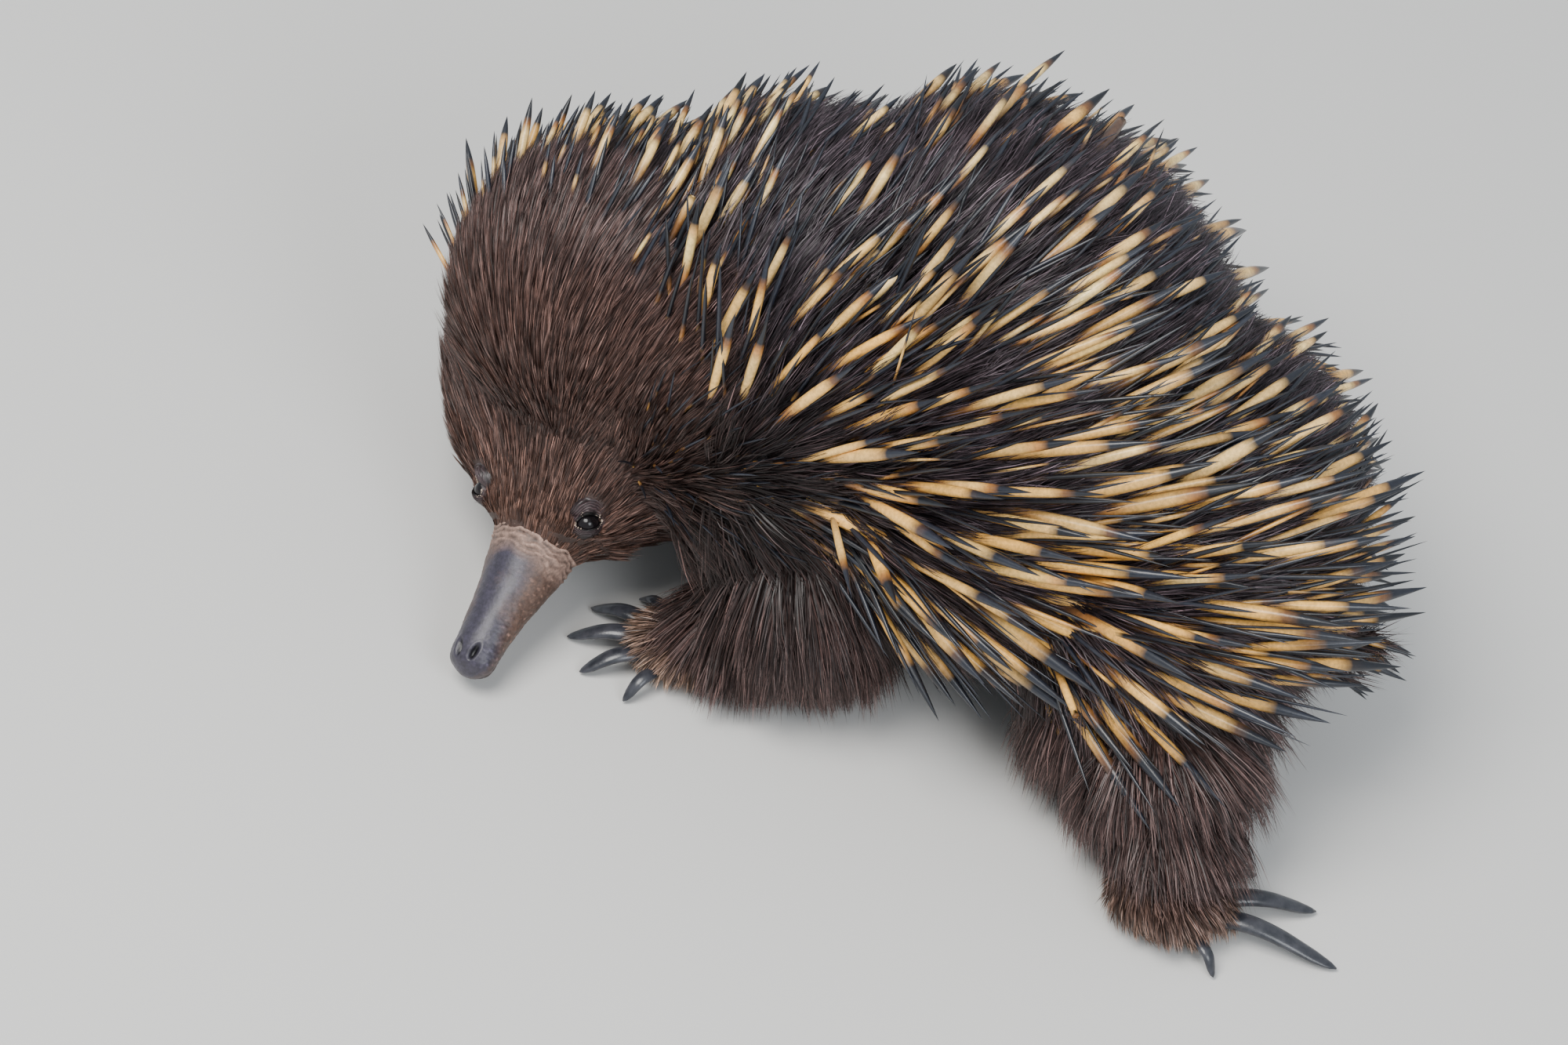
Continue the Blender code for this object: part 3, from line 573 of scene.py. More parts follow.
def scattered(count_per_area, seed):
    """Random places on the skin, so many to a square metre as the density of each triangle asks."""
    rng = np.random.default_rng(seed)
    corners = skin_points[skin_triangles]
    areas = np.linalg.norm(np.cross(corners[:, 1] - corners[:, 0], corners[:, 2] - corners[:, 0]), axis=1) / 2
    per_triangle = count_per_area(skin_points, skin_normals)[skin_triangles].mean(axis=1)
    owner = np.repeat(np.arange(len(areas)), rng.poisson(areas * per_triangle))
    weights = rng.dirichlet((1, 1, 1), size=len(owner))
    places = (corners[owner] * weights[:, :, None]).sum(axis=1)
    normals = unit((skin_normals[skin_triangles[owner]] * weights[:, :, None]).sum(axis=1))
    return places, normals, rng


def spine_ground(points, normals, beyond=0.004):
    """Whether spines grow from the skin at each point, up to so far beyond the hairline."""
    home = points - SHIFT
    ahead = (home - HAIRLINE_PLACE) @ HAIRLINE_WAY
    lowest = ramp(home[:, 1], (-0.06, 0.0, 0.10, 0.18), (0.078, 0.064, 0.050, 0.046))
    share = shares(points)
    on_tail = (share["tail"] > 0.5) & (normals[:, 2] > -0.55)
    from_fold = np.linalg.norm(home - NECK_FOLD, axis=1)
    chest = (home[:, 2] < 0.085) & (home[:, 1] < 0.004) & (home[:, 0] > trunk_midline(home[:, 1]))
    furthest = ramp(from_fold, (0.035, 0.070, 0.095, 0.120), (0.002, beyond, beyond, beyond + 0.009))
    clear = (from_fold > BARE_FOLD) & ~chest & (ahead < furthest)
    on_trunk = (np.abs(down_flank(points)) < 118) & (home[:, 2] > lowest) & clear
    legs = leg_share(share)
    return (on_trunk | on_tail) & (legs < 0.45)


def spread_out(places, spacing):
    """The numbers of places that keep their distance from each other, by a grid of cells."""
    kept = []
    cells = {}
    around = np.array([(x, y, z) for x in (-1, 0, 1) for y in (-1, 0, 1) for z in (-1, 0, 1)])
    for index, place in enumerate(places):
        cell = np.floor(place / spacing).astype(int)
        near = [other for step in around for other in cells.get(tuple(cell + step), ())]
        if not near or np.min(np.sum((places[near] - place) ** 2, axis=1)) >= spacing**2:
            cells.setdefault(tuple(cell), []).append(index)
            kept.append(index)
    return np.array(kept)


def spaced(density, spacing, seed):
    """Random places on the skin that also keep their distance from each other."""
    places, normals, rng = scattered(density, seed)
    kept = spread_out(places, spacing)
    return places[kept], normals[kept], rng


def spine_plan(places, normals):
    """How far a spine at each place stands out of the coat, how steeply, and how many of the places have one."""
    y = (places - SHIFT)[:, 1]
    down = down_flank(places)
    length = ramp(y, (-0.08, -0.02, 0.05, 0.18), (0.027, 0.033, 0.045, 0.042))
    length *= ramp(down, (-60, -10, 25, 70), (0.80, 0.72, 0.84, 1.0))
    lift = ramp(y, (-0.08, -0.04, -0.01, 0.05, 0.12, 0.16), (46, 36, 27, 16, 17, 22))
    lift *= ramp(down, (-60, -10, 25, 70), (0.70, 0.74, 0.85, 1.0))
    share = np.maximum(ramp(down, (-70, -20, 18, 48), (0.31, 0.21, 0.30, 0.93)), ramp(y, (-0.05, 0.01), (0.95, 0)))
    rump = np.clip((normals[:, 1] - 0.6) / 0.3, 0, 1) * np.clip((0.55 - normals[:, 2]) / 0.4, 0, 1)
    length, lift = length * (1 - 0.45 * rump), np.maximum(lift, 42 * rump)
    on_tail = shares(places)["tail"] > 0.5
    return np.where(on_tail, 0.022, length), np.where(on_tail, 24, lift), np.where(on_tail, 1.0, share)


def swayed(way, normal, sway):
    """A direction turned sideways over the skin."""
    return way * math.cos(sway) + np.cross(normal, way) * math.sin(sway)


def lifted_off(way, normal, lift):
    """A direction tipped up from the skin."""
    return way * math.cos(lift) + normal * math.sin(lift)


def spine_density(points, normals):
    return spine_ground(points, normals) * SPINE_DENSITY


def bristle_density(points, normals):
    return spine_ground(points, normals, CROWN_FRINGE) * BRISTLE_DENSITY


def plant_spines():
    """Root, direction, length, hidden share, radius and skin place of every spine, none running far into another."""
    places, normals, rng = spaced(spine_density, SPINE_SPACING, 41)
    ways = trunk_lie(places, normals)
    lengths, lifts, share = spine_plan(places, normals)
    balls = np.zeros((0, 3))
    sizes = np.zeros(0)
    steps = np.linspace(0.16, 1.0, 12)
    swell = np.interp(steps, SPINE_RINGS, SPINE_SWELL)
    planted = []
    for index in rng.permutation(len(places)):
        if rng.random() > share[index]:
            continue
        seen = lengths[index] * rng.uniform(0.80, 1.14)
        radius = SPINE_RADIUS * rng.uniform(0.70, 1.20) * (seen / 0.044) ** 0.5
        way = swayed(ways[index], normals[index], math.radians(rng.normal(0, 6)))
        base = lifts[index] + rng.uniform(-5, 5)
        best = None
        for steeper in (0, 3, -3, 7, 12, 18, 25):
            lift = math.radians(max(base + steeper, 12))
            hidden = min(SKIN_UNDER / math.sin(lift), 0.015)
            length = seen + hidden
            ahead = lifted_off(way, normals[index], lift)
            line = places[index] + ahead * (steps * length)[:, None]
            if line[:, 2].min() < CLEAR_OF_FLOOR:
                continue
            worst = -1
            if len(sizes):
                near = np.linalg.norm(balls - line[6], axis=1) < length
                apart = np.linalg.norm(balls[near][:, None] - line[None], axis=2)
                clash = (sizes[near][:, None] + swell * radius) * 0.92 - apart
                worst = clash.max() if clash.size else -1
            if best is None or worst < best[0]:
                best = (worst, ahead, line, length, hidden)
            if worst <= 0:
                break
        if best is None or best[0] > TOUCH_ALLOWED:
            continue
        worst, ahead, line, length, hidden = best
        balls = np.vstack((balls, line))
        sizes = np.concatenate((sizes, swell * radius))
        root = places[index] - ahead * SPINE_ROOT
        whole = length + SPINE_ROOT
        planted.append((root, ahead, whole, (hidden + SPINE_ROOT) / whole, radius, places[index]))
    return planted, rng


def fold_density(points, normals):
    """Where thin bristles grow on the cheek and the neck round the fold, too near it for spines."""
    home = points - SHIFT
    near = np.linalg.norm((home - NECK_FOLD) / (0.036, 0.030, 0.036), axis=1) < 1
    behind_face = head_place(points)[:, 0] < -0.012
    return (near & behind_face & ~spine_ground(points, normals)) * FOLD_DENSITY


def plant_bristles():
    """The same for the thin dark bristles, which stand closer and also a little way onto the crown."""
    places, normals, rng = spaced(bristle_density, BRISTLE_SPACING, 43)
    ways = trunk_lie(places, normals)
    lengths, lifts, _ = spine_plan(places, normals)
    down = down_flank(places)
    share = ramp(down, (-60, -10, 20, 50), (0.45, 0.50, 0.62, 0.95))
    share = np.maximum(share, ramp((places - SHIFT)[:, 1], (-0.03, 0.02), (0.9, 0)))
    lengths = lengths * ramp(down, (-60, -10, 20, 50), (0.82, 0.84, 0.86, 1.0))
    planted = []
    for index in np.flatnonzero(rng.random(len(places)) < share):
        way = swayed(ways[index], normals[index], math.radians(rng.normal(0, 9)))
        lift = math.radians(max(lifts[index] + rng.uniform(-1, 9), 13))
        ahead = lifted_off(way, normals[index], lift)
        hidden = min(SKIN_UNDER / math.sin(lift), 0.014)
        length = lengths[index] * rng.uniform(0.60, 1.02) + hidden
        if (places[index] + ahead * length)[2] < CLEAR_OF_FLOOR:
            continue
        planted.append((places[index], ahead, length, 0.8, rng.uniform(0.0005, 0.0012), places[index]))
    places, normals, rng = spaced(fold_density, FOLD_SPACING, 44)
    ways = flatten(places - SHIFT - on_head(0.019, 0, -0.007), normals)
    for place, normal, way in zip(places, normals, ways):
        lift = math.radians(rng.uniform(15, 32))
        ahead = unit(lifted_off(way, normal, lift) + rng.normal(0, 0.08, 3))
        planted.append((place, ahead, rng.uniform(0.014, 0.026), 0.8, rng.uniform(0.0003, 0.0006), place))
    return planted, rng


def spine_points(root, ahead, length, hidden, radius, bend, blunt, sides):
    """Rings of points of one spine, whose swelling lies where it leaves the fur."""
    side = unit(np.cross(ahead, UP + 0.01))
    over = np.cross(side, ahead)
    turn = np.arange(sides) * math.tau / sides
    ring = side * np.cos(turn)[:, None] + over * np.sin(turn)[:, None]
    at = np.minimum(SPINE_RINGS, 0.62) if blunt else SPINE_RINGS
    swell = SPINE_SWELL.copy()
    if blunt:
        swell = np.where(SPINE_RINGS > 0.5, 0.88, swell)
        swell[-1] = 0.3
    early = min(hidden * 0.55, 0.2)
    if sides == BRISTLE_SIDES:
        swell = np.interp(SPINE_RINGS, (0, 0.5, 1), (0.9, 0.75, 0.04))
    at = at + early * np.sin(at * math.pi)
    centre = root + ahead * (at * length)[:, None] + over * (bend * at**2)[:, None]
    return centre[:, None] + ring[None] * (swell * radius)[:, None, None]


def spine_tone(along, rng, warm, pale_from, dark_from):
    """Colours down one spine: brown root, cream shaft and blue-black point."""
    root = np.array((0.090, 0.046, 0.026)) * rng.uniform(0.6, 1.3)
    cream = np.array((0.97, 0.67, 0.27)) * (1 - warm) + np.array((0.93, 0.50, 0.115)) * warm
    cream = cream * rng.uniform(0.75, 1.12)
    rust = np.array((0.40, 0.17, 0.045)) * rng.uniform(0.6, 1.3)
    dark = np.array((0.010, 0.012, 0.019)) * rng.uniform(0.5, 1.7)
    start = pale_from + rng.uniform(-0.07, 0.07)
    turn = max(dark_from + rng.uniform(-0.06, 0.05), start + 0.08)
    stops = (0.0, start - 0.08, start, start + 0.08, turn - 0.06, turn - 0.01, turn + 0.03, 1.0)
    levels = np.array((root, root, rust, cream, cream, rust, dark, dark * 0.9))
    return np.stack([np.interp(along, stops, levels[:, c]) for c in range(3)], axis=1)


def whole_mesh(name, points, quads, triangles):
    """A mesh built straight from arrays."""
    mesh = bpy.data.meshes.new(name)
    loops = np.concatenate((quads.ravel(), triangles.ravel())).astype(np.int32)
    counts = np.concatenate((np.full(len(quads), 4), np.full(len(triangles), 3))).astype(np.int32)
    starts = np.concatenate(((0,), np.cumsum(counts)[:-1])).astype(np.int32)
    mesh.vertices.add(len(points))
    mesh.vertices.foreach_set("co", points.astype(np.float32).ravel())
    mesh.loops.add(len(loops))
    mesh.loops.foreach_set("vertex_index", loops)
    mesh.polygons.add(len(counts))
    mesh.polygons.foreach_set("loop_start", starts)
    mesh.polygons.foreach_set("loop_total", counts)
    mesh.polygons.foreach_set("use_smooth", np.ones(len(counts), bool))
    mesh.update(calc_edges=True)
    return mesh


def ring_quads(grid):
    """The faces between rows of points that each close into a ring."""
    after = np.roll(grid, -1, axis=1)
    return np.stack((grid[:-1], after[:-1], after[1:], grid[1:]), axis=2).reshape(-1, 4)


def end_cap(grid, tip):
    """The faces from the last ring to one point."""
    ring = grid[-1]
    return np.stack((ring, np.roll(ring, -1), np.full(len(ring), tip)), axis=1)


UNWRAP_BOXES = {
    "trunk": (0.02, 0.02, 0.62, 0.60),
    "head": (0.02, 0.66, 0.46, 0.32),
    "tail": (0.50, 0.66, 0.14, 0.32),
    "foreleg_left": (0.68, 0.02, 0.30, 0.22),
    "foreleg_right": (0.68, 0.26, 0.30, 0.22),
    "hindleg_left": (0.68, 0.50, 0.30, 0.22),
    "hindleg_right": (0.68, 0.74, 0.30, 0.22),
}
UNWRAP_REACH = {"trunk": 0.24, "head": 0.16, "tail": 0.09}
LEG_REACH = 0.12
PATCH = 0.003


def main_region(places):
    """The names of the body's regions, and which of them each place belongs to most."""
    share = shares(places)
    names = list(share)
    return names, np.argmax([share[name] for name in names], axis=0)


def skin_unwrap(places):
    """A place on an unwrap of the body's own shape: each region is rolled out round its own axis in its own box."""
    names, region = main_region(places)
    flat = np.zeros((len(places), 2))
    for number, name in enumerate(names):
        mine = region == number
        if not mine.any():
            continue
        centre = np.mean([mass[0] for mass in MASSES[name]], axis=0)
        axis = {"trunk": BACK, "head": FORWARD, "tail": BACK}.get(name, -UP)
        side = unit(np.cross(axis, UP if name in ("trunk", "head", "tail") else BACK))
        over = np.cross(side, axis)
        away = places[mine] - centre
        angle = np.arctan2(away @ side, away @ over) / math.tau + 0.5
        along = np.clip((away @ axis) / UNWRAP_REACH.get(name, LEG_REACH) + 0.5, 0, 1)
        x, y, wide, tall = UNWRAP_BOXES[name]
        flat[mine, 0] = x + angle * wide
        flat[mine, 1] = y + along * tall
    return flat


def bake_map(mesh, root_flat, owner_of_point, across, along):
    """Writes the map OFBake, where each tuft is a small patch at its root's place on the unwrap."""
    layer = mesh.uv_layers.new(name="OFBake")
    loops = np.empty(len(mesh.loops), np.int32)
    mesh.loops.foreach_get("vertex_index", loops)
    flat = root_flat[owner_of_point] + np.stack((across - 0.5, along - 0.5), axis=1) * PATCH
    layer.uv.foreach_set("vector", np.clip(flat, 0.001, 0.999)[loops].astype(np.float32).ravel())


def horn_material():
    """Glossy horn with fine flecks and lines, in the tones kept on its points."""
    made, tree, shader = fresh_material("quill_horn")
    flecks = texture(tree, "ShaderNodeTexNoise", Scale=800.0, Detail=4.0, Roughness=0.65)
    use_tone(tree, shader, flecks, 0.70, 1.18)
    use_grain(tree, shader, flecks.outputs["Fac"], 0.25, 0.0002)
    shader.inputs["Roughness"].default_value = 0.36
    shader.inputs["Coat Weight"].default_value = 0.25
    shader.inputs["Coat Roughness"].default_value = 0.2
    return made


BLUNT_SHARE = 0.015
BANDED_BRISTLES = 0.25


def make_spines(name, planted, rng, sides):
    """One piece of all planted spines, with their colours and their map."""
    rings = len(SPINE_RINGS)
    points, quads, triangles, tones, across, along = [], [], [], [], [], []
    size = rings * sides + 1
    places = np.array([spine[5] for spine in planted])
    down = down_flank(places)
    warmth = ramp(np.abs(down), (25, 75), (0.0, 0.9))
    low = ramp(down, (70, 100), (0, 1))
    far = ramp(np.linalg.norm(places - SHIFT - NECK_FOLD, axis=1), (0.042, 0.075), (0, 1))
    pale_from = ramp(down, (-60, -10, 20, 50), (0.36, 0.38, 0.32, 0.18))
    pale_from = np.where((places - SHIFT)[:, 1] < 0.0, np.minimum(pale_from, 0.26), pale_from)
    for number, (root, ahead, length, hidden, radius, _) in enumerate(planted):
        blunt = sides == SPINE_SIDES and rng.random() < BLUNT_SHARE
        body = spine_points(root, ahead, length, hidden, radius, rng.normal(-0.001, 0.001), blunt, sides)
        points.append(np.vstack((body.reshape(-1, 3), body[-1].mean(axis=0) + ahead * 0.0003)))
        grid = number * size + np.arange(rings * sides).reshape(rings, sides)
        quads.append(ring_quads(grid))
        triangles.append(end_cap(grid, number * size + size - 1))
        level = np.append(np.repeat(SPINE_RINGS, sides), 1.0)
        warm = float(np.clip(warmth[number] + rng.normal(0, 0.25), 0, 1))
        banded = sides == SPINE_SIDES or rng.random() < far[number] * BANDED_BRISTLES
        turn = 0.60 - 0.10 * low[number] if sides == SPINE_SIDES else (0.44 if banded else 0.08)
        start = pale_from[number] if banded else -0.3
        tones.append(spine_tone(level * (0.55 if blunt else 1.0), rng, warm, start, turn))
        across.append(np.append(np.tile(np.arange(sides) / sides, rings), 0.5))
        along.append(level)
    mesh = whole_mesh(name, np.vstack(points), np.vstack(quads), np.vstack(triangles))
    paint_points(mesh, np.vstack(tones))
    owners = np.repeat(np.arange(len(planted)), size)
    bake_map(mesh, skin_unwrap(places), owners, np.concatenate(across), np.concatenate(along))
    mesh.materials.append(quill_horn)
    piece = new_object(name, mesh)
    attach(piece, "root")


quill_horn = horn_material()
planted, spine_rng = plant_spines()
make_spines("spines", planted, spine_rng, SPINE_SIDES)
planted, spine_rng = plant_bristles()
make_spines("bristles", planted, spine_rng, BRISTLE_SIDES)


# The fur. Stiff hair grows between the spines and hides the hide: short on the face, longer over the crown and
# the nape, and longest as a fringe over the legs. It is laid strand by strand in small tufts, each strand a thin
# tapering blade that leaves the skin low, follows the lie of the coat and leans in to the point of its tuft.

FUR_LEVELS = np.array((0.0, 0.36, 0.70, 1.0))
FUR_TAPER = np.array((1.0, 0.90, 0.58))
STRAND_QUADS = np.array(((0, 1, 3, 2), (2, 3, 5, 4)))
STRAND_TIP = np.array(((4, 5, 6),))
STRAND_POINTS = 7
HAIR_ROOT = 0.0006
STRANDS_PER_PIECE = 38000


def head_lie(places, normals):
    """The lie on the head: away from the beak, up over the brow, and outwards on either side."""
    place = head_place(places)
    outwards = np.clip(place[:, 1] / 0.052, -0.9, 0.9) * ramp(place[:, 0], (-0.080, -0.030), (0.6, 1))
    upwards = np.clip((place[:, 2] + 0.012) / 0.020, -0.5, 0.8) * ramp(place[:, 0], (-0.070, -0.030), (0.1, 0.8))
    return flatten(-FORWARD + LEFT * outwards[:, None] + CROWN * upwards[:, None], normals)


def fur_lie(places, normals):
    """The lie of the fur everywhere, blended from the head's, the trunk's and each leg's own."""
    share = shares(places)
    home = places - SHIFT
    way = head_lie(places, normals) * share["head"][:, None]
    falling = ramp(home[:, 2], (0.050, 0.088), (1.7, 0)) * (np.abs(normals[:, 2]) < 0.8)
    way += flatten(trunk_lie(places, normals) - UP * falling[:, None], normals) * share["trunk"][:, None]
    way += flatten(np.tile(BACK, (len(places), 1)), normals) * share["tail"][:, None]
    for leg, masses in LEG_MASSES.items():
        spread = (20, 24, 0) if "hind" in leg else (13, 12, 0)
        fan = (home - np.array(masses[0][0])) * spread - UP + BACK * 0.25
        way += flatten(fan, normals) * share[leg][:, None]
    way = unit(way)
    for side in (-1, 1):
        away = flatten(places - eye_frame(side)[0], normals)
        this_side = places @ LEFT * side > (BETWEEN_EYES + SHIFT) @ LEFT * side
        near = np.exp(-((lid_reach(places) / 1.25) ** 4)) * this_side
        into = np.minimum(np.sum(way * away, axis=1) - 0.25, 0)
        way = way - away * (into * near)[:, None]
    return flatten(way, normals)


def fur_density(points, normals):
    """Strands to a square metre of skin."""
    share = shares(points)
    place = head_place(points)
    legs = leg_share(share)
    edge = place[:, 0] - np.abs(place[:, 1]) * 0.35 + ripple(points, 0.006, 58) * 0.0012
    head = ramp(place[:, 0], (-0.045, -0.020, 0.0, 0.005), (1.9e6, 3.0e6, 5.2e6, 9.0e6))
    head = head * ramp(edge, (0.0080, 0.0104), (1, 0))
    on_legs = ramp(points[:, 2], (0.0, 0.005, 0.012, 0.022), (0.0, 0.5e6, 1.6e6, 2.1e6))
    on_trunk = 0.95e6 * ramp(normals[:, 2], (-0.9, -0.4), (0.4, 1.0))
    density = share["head"] * head + legs * on_legs + (share["trunk"] + share["tail"]) * on_trunk
    return density * ramp(lid_reach(points), (0.76, 0.96), (0, 1))


def fur_sizes(places):
    """Length, width and lift of the strand at each place, and the size of its tuft."""
    share = shares(places)
    place = head_place(places)
    legs = leg_share(share)
    trunk = share["trunk"] + share["tail"]
    on_head_length = ramp(-place[:, 0], (-0.007, 0.0, 0.012, 0.040, 0.080), (0.0062, 0.0095, 0.0130, 0.0165, 0.0200))
    on_leg_length = ramp(places[:, 2], (0.003, 0.012, 0.024, 0.040), (0.0022, 0.0090, 0.0230, 0.0310))
    on_trunk_length = ramp(places[:, 2], (0.03, 0.06, 0.10, 0.14), (0.038, 0.034, 0.025, 0.026))
    length = share["head"] * on_head_length + legs * on_leg_length + share["trunk"] * on_trunk_length
    length += share["tail"] * 0.024
    length *= ramp(lid_reach(places), (1.0, 1.7), (0.60, 1.0))
    width = share["head"] * 0.00036 + legs * 0.00040 + trunk * 0.00042
    width *= ramp(length, (0.002, 0.008), (0.55, 1.0))
    head_lift = ramp(place[:, 0], (-0.090, -0.055, -0.025, 0.006), (32, 21, 17, 18))
    trunk_lift = ramp(places[:, 2], (0.05, 0.10, 0.14), (30, 34, 26))
    lift = share["head"] * head_lift + legs * 25 + trunk * trunk_lift
    tuft = share["head"] * 0.0015 + legs * 0.0022 + trunk * 0.0028
    return length, width, lift, tuft


def grow_fur():
    """Roots, points and tuft leaders of all strands: a strand has three pairs of points and a tip."""
    places, normals, rng = scattered(fur_density, 77)
    count = len(places)
    length, width, lift, tuft = fur_sizes(places)
    leaders = np.flatnonzero(rng.random(count) < 1 / (fur_density(places, normals) * tuft**2 + 1))
    tree = KDTree(len(leaders))
    for number, leader in enumerate(leaders):
        tree.insert(places[leader], number)
    tree.balance()
    mine = leaders[[tree.find(place)[1] for place in places]]
    length *= rng.uniform(0.72, 1.15, count) * rng.uniform(0.85, 1.12, count)[mine]
    width *= rng.uniform(0.75, 1.25, count)
    way = fur_lie(places, normals)
    side = np.cross(normals, way)
    loose = 1 - 0.5 * shares(places)["head"]
    swerve = 7 * ripple(places, 0.010, 5) + rng.normal(0, 5, count) + rng.normal(0, 7, count)[mine]
    swerve = np.radians(swerve * loose)[:, None]
    way = way * np.cos(swerve) + side * np.sin(swerve)
    side = np.cross(normals, way)
    lift = lift + (4 * ripple(places, 0.007, 8) + rng.normal(0, 4, count) + rng.normal(0, 4, count)[mine]) * loose
    lift = np.radians(np.clip(lift, 6, 60))[:, None]
    centres = [places - normals * HAIR_ROOT]
    for start, end in zip(FUR_LEVELS, FUR_LEVELS[1:]):
        bent = lift * (1 - 0.8 * (start + end) / 2)
        ahead = way * np.cos(bent) + normals * np.sin(bent)
        centres.append(centres[-1] + ahead * (length * (end - start))[:, None])
    centres = np.stack(centres, axis=1)
    together = rng.uniform(0.05, 0.65, count)[mine][:, None] * FUR_LEVELS[None] ** 1.4
    centres += (centres[mine] - centres) * together[:, :, None]
    roll = rng.normal(0, 0.5, count)[:, None]
    blade = side * np.cos(roll) + normals * np.sin(roll)
    half = blade[:, None] * (width[:, None] * FUR_TAPER[None] / 2)[:, :, None]
    pairs = np.stack((centres[:, :3] - half, centres[:, :3] + half), axis=2).reshape(count, 6, 3)
    strands = np.concatenate((pairs, centres[:, 3:]), axis=1)
    floor_line = 0.0005 + rng.uniform(0, 0.0009, count)[:, None]
    strands[:, :, 2] = np.maximum(strands[:, :, 2], floor_line)
    return places, strands, mine, rng


def strand_tones(places, mine, rng):
    """Colour of each strand at its root, darkened by a painted shade among the strands, and at its tip, where pale
    tips are partly pale hairs and partly painted highlights.
    """
    base = coat_colour(places)
    share = shares(places)
    legs = leg_share(share)
    count = len(places)
    bright = np.exp(rng.normal(0, 0.80, count) + rng.normal(0, 0.25, count)[mine])[:, None]
    # Pale tips: partly pale hairs, partly painted highlights of the light on the strands.
    pale = (rng.random(count) < 0.19 * legs + 0.13 * share["head"] + 0.03)[:, None]
    tip = base * bright * 0.95
    tip = np.where(pale, base * 3.6 + 0.03, tip)
    # The root is painted darker, as the shade deep among the strands.
    return base * (0.36 + 0.26 * share["head"])[:, None], tip


def fur_material():
    """Dry, slightly glossy hair in the tones kept on its points."""
    made, tree, shader = fresh_material("stiff_hair")
    flecks = texture(tree, "ShaderNodeTexNoise", Scale=420.0, Detail=2.0)
    use_tone(tree, shader, flecks, 0.75, 1.25)
    shader.inputs["Roughness"].default_value = 0.38
    shader.inputs["Specular IOR Level"].default_value = 0.30
    return made


hair = fur_material()
places, strands, mine, fur_rng = grow_fur()
shaded_root_tone, tip_tone_with_highlights = strand_tones(places, mine, fur_rng)
flat_roots = skin_unwrap(places)
names, region = main_region(places)
batches = []
for number, name in enumerate(names):
    inside = np.flatnonzero(region == number)
    ordered = inside[np.argsort(places[inside] @ (BACK + UP * 0.2))]
    pieces = max(1, math.ceil(len(inside) / STRANDS_PER_PIECE))
    for part, chosen in enumerate(np.array_split(ordered, pieces), 1):
        batches.append((name + "_fur_" + str(part), chosen))
levels = np.repeat(FUR_LEVELS, 2)[:STRAND_POINTS]
across = np.array((0, 1, 0.03, 0.97, 0.2, 0.8, 0.5))
for name, chosen in batches:
    count = len(chosen)
    starts = np.arange(count)[:, None, None] * STRAND_POINTS
    body = strands[chosen].reshape(-1, 3)
    mesh = whole_mesh(name, body, (starts + STRAND_QUADS).reshape(-1, 4), (starts + STRAND_TIP).reshape(-1, 3))
    tone = shaded_root_tone[chosen][:, None] * (1 - levels[:, None]) + tip_tone_with_highlights[chosen][:, None] * levels[:, None]
    paint_points(mesh, tone.reshape(-1, 3))
    owners = np.repeat(np.arange(count), STRAND_POINTS)
    bake_map(mesh, flat_roots[chosen], owners, np.tile(across, count), np.tile(levels, count))
    mesh.materials.append(hair)
    piece = new_object(name, mesh)
    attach(piece, "root")


# The lids. Bare, swollen and finely creased purple-brown skin round each eye, a large dome above it and a narrow
# fold below. They are cast as one rim with the slit left open, laid over the socket, with crumbs of dried earth
# caught in both corners.

EYE_RADIUS = 0.0042
LID_SLIT = (0.0040, 0.0024, 0.0021)
LID_EDGE = (0.0062, 0.0092, 0.0050)
LID_DOME = 0.0070
LID_TONE = np.array((0.080, 0.050, 0.054))
EARTH_TONE = np.array((0.52, 0.40, 0.31))


def lid_tones(s, y, phase):
    """Colours over a lid: painted shade darkens its creases and the lower lid, a painted highlight makes its dome
    paler, and it is nearly black at the rim.
    """
    # Painted shade in the creases, following the same waves as the creases' relief.
    shade = 0.30 + 0.78 * (0.5 + 0.5 * np.sin(phase))
    shade = shade * ramp(s, (0, 0.13, 0.26, 0.60, 1.0), (0.04, 0.10, 0.90, 0.75, 0.18))
    # Painted highlight on the upper lid's dome and painted shade on the lower lid.
    return LID_TONE * (shade * ramp(y, (-0.004, 0.002, 0.006), (0.6, 1.15, 0.85)))[..., None]


def earth_crumbs(body, around, side, first):
    """Crumbs of dried earth at the corners of the slit: their points, faces and tones."""
    rng = np.random.default_rng(60 + side)
    crumb = bmesh.new()
    bmesh.ops.create_icosphere(crumb, subdivisions=1, radius=1)
    crumb_points = np.array([vertex.co[:] for vertex in crumb.verts])
    crumb_faces = np.array([[vertex.index for vertex in face.verts] for face in crumb.faces])
    crumb.free()
    points, faces, tones = [], [], []
    for _ in range(46):
        corner = rng.choice((0, math.pi)) + rng.normal(0, 0.45)
        row = int(rng.integers(2, 12))
        place = body[row, int(corner / math.tau * around) % around]
        size = rng.uniform(0.00010, 0.00026)
        points.append(place + crumb_points * size * rng.uniform(0.7, 1.3, crumb_points.shape))
        faces.append(crumb_faces + first)
        tones.append(np.tile(EARTH_TONE * rng.uniform(0.5, 1.2), (len(crumb_points), 1)))
        first += len(crumb_points)
    return np.vstack(points), np.vstack(faces), np.vstack(tones)


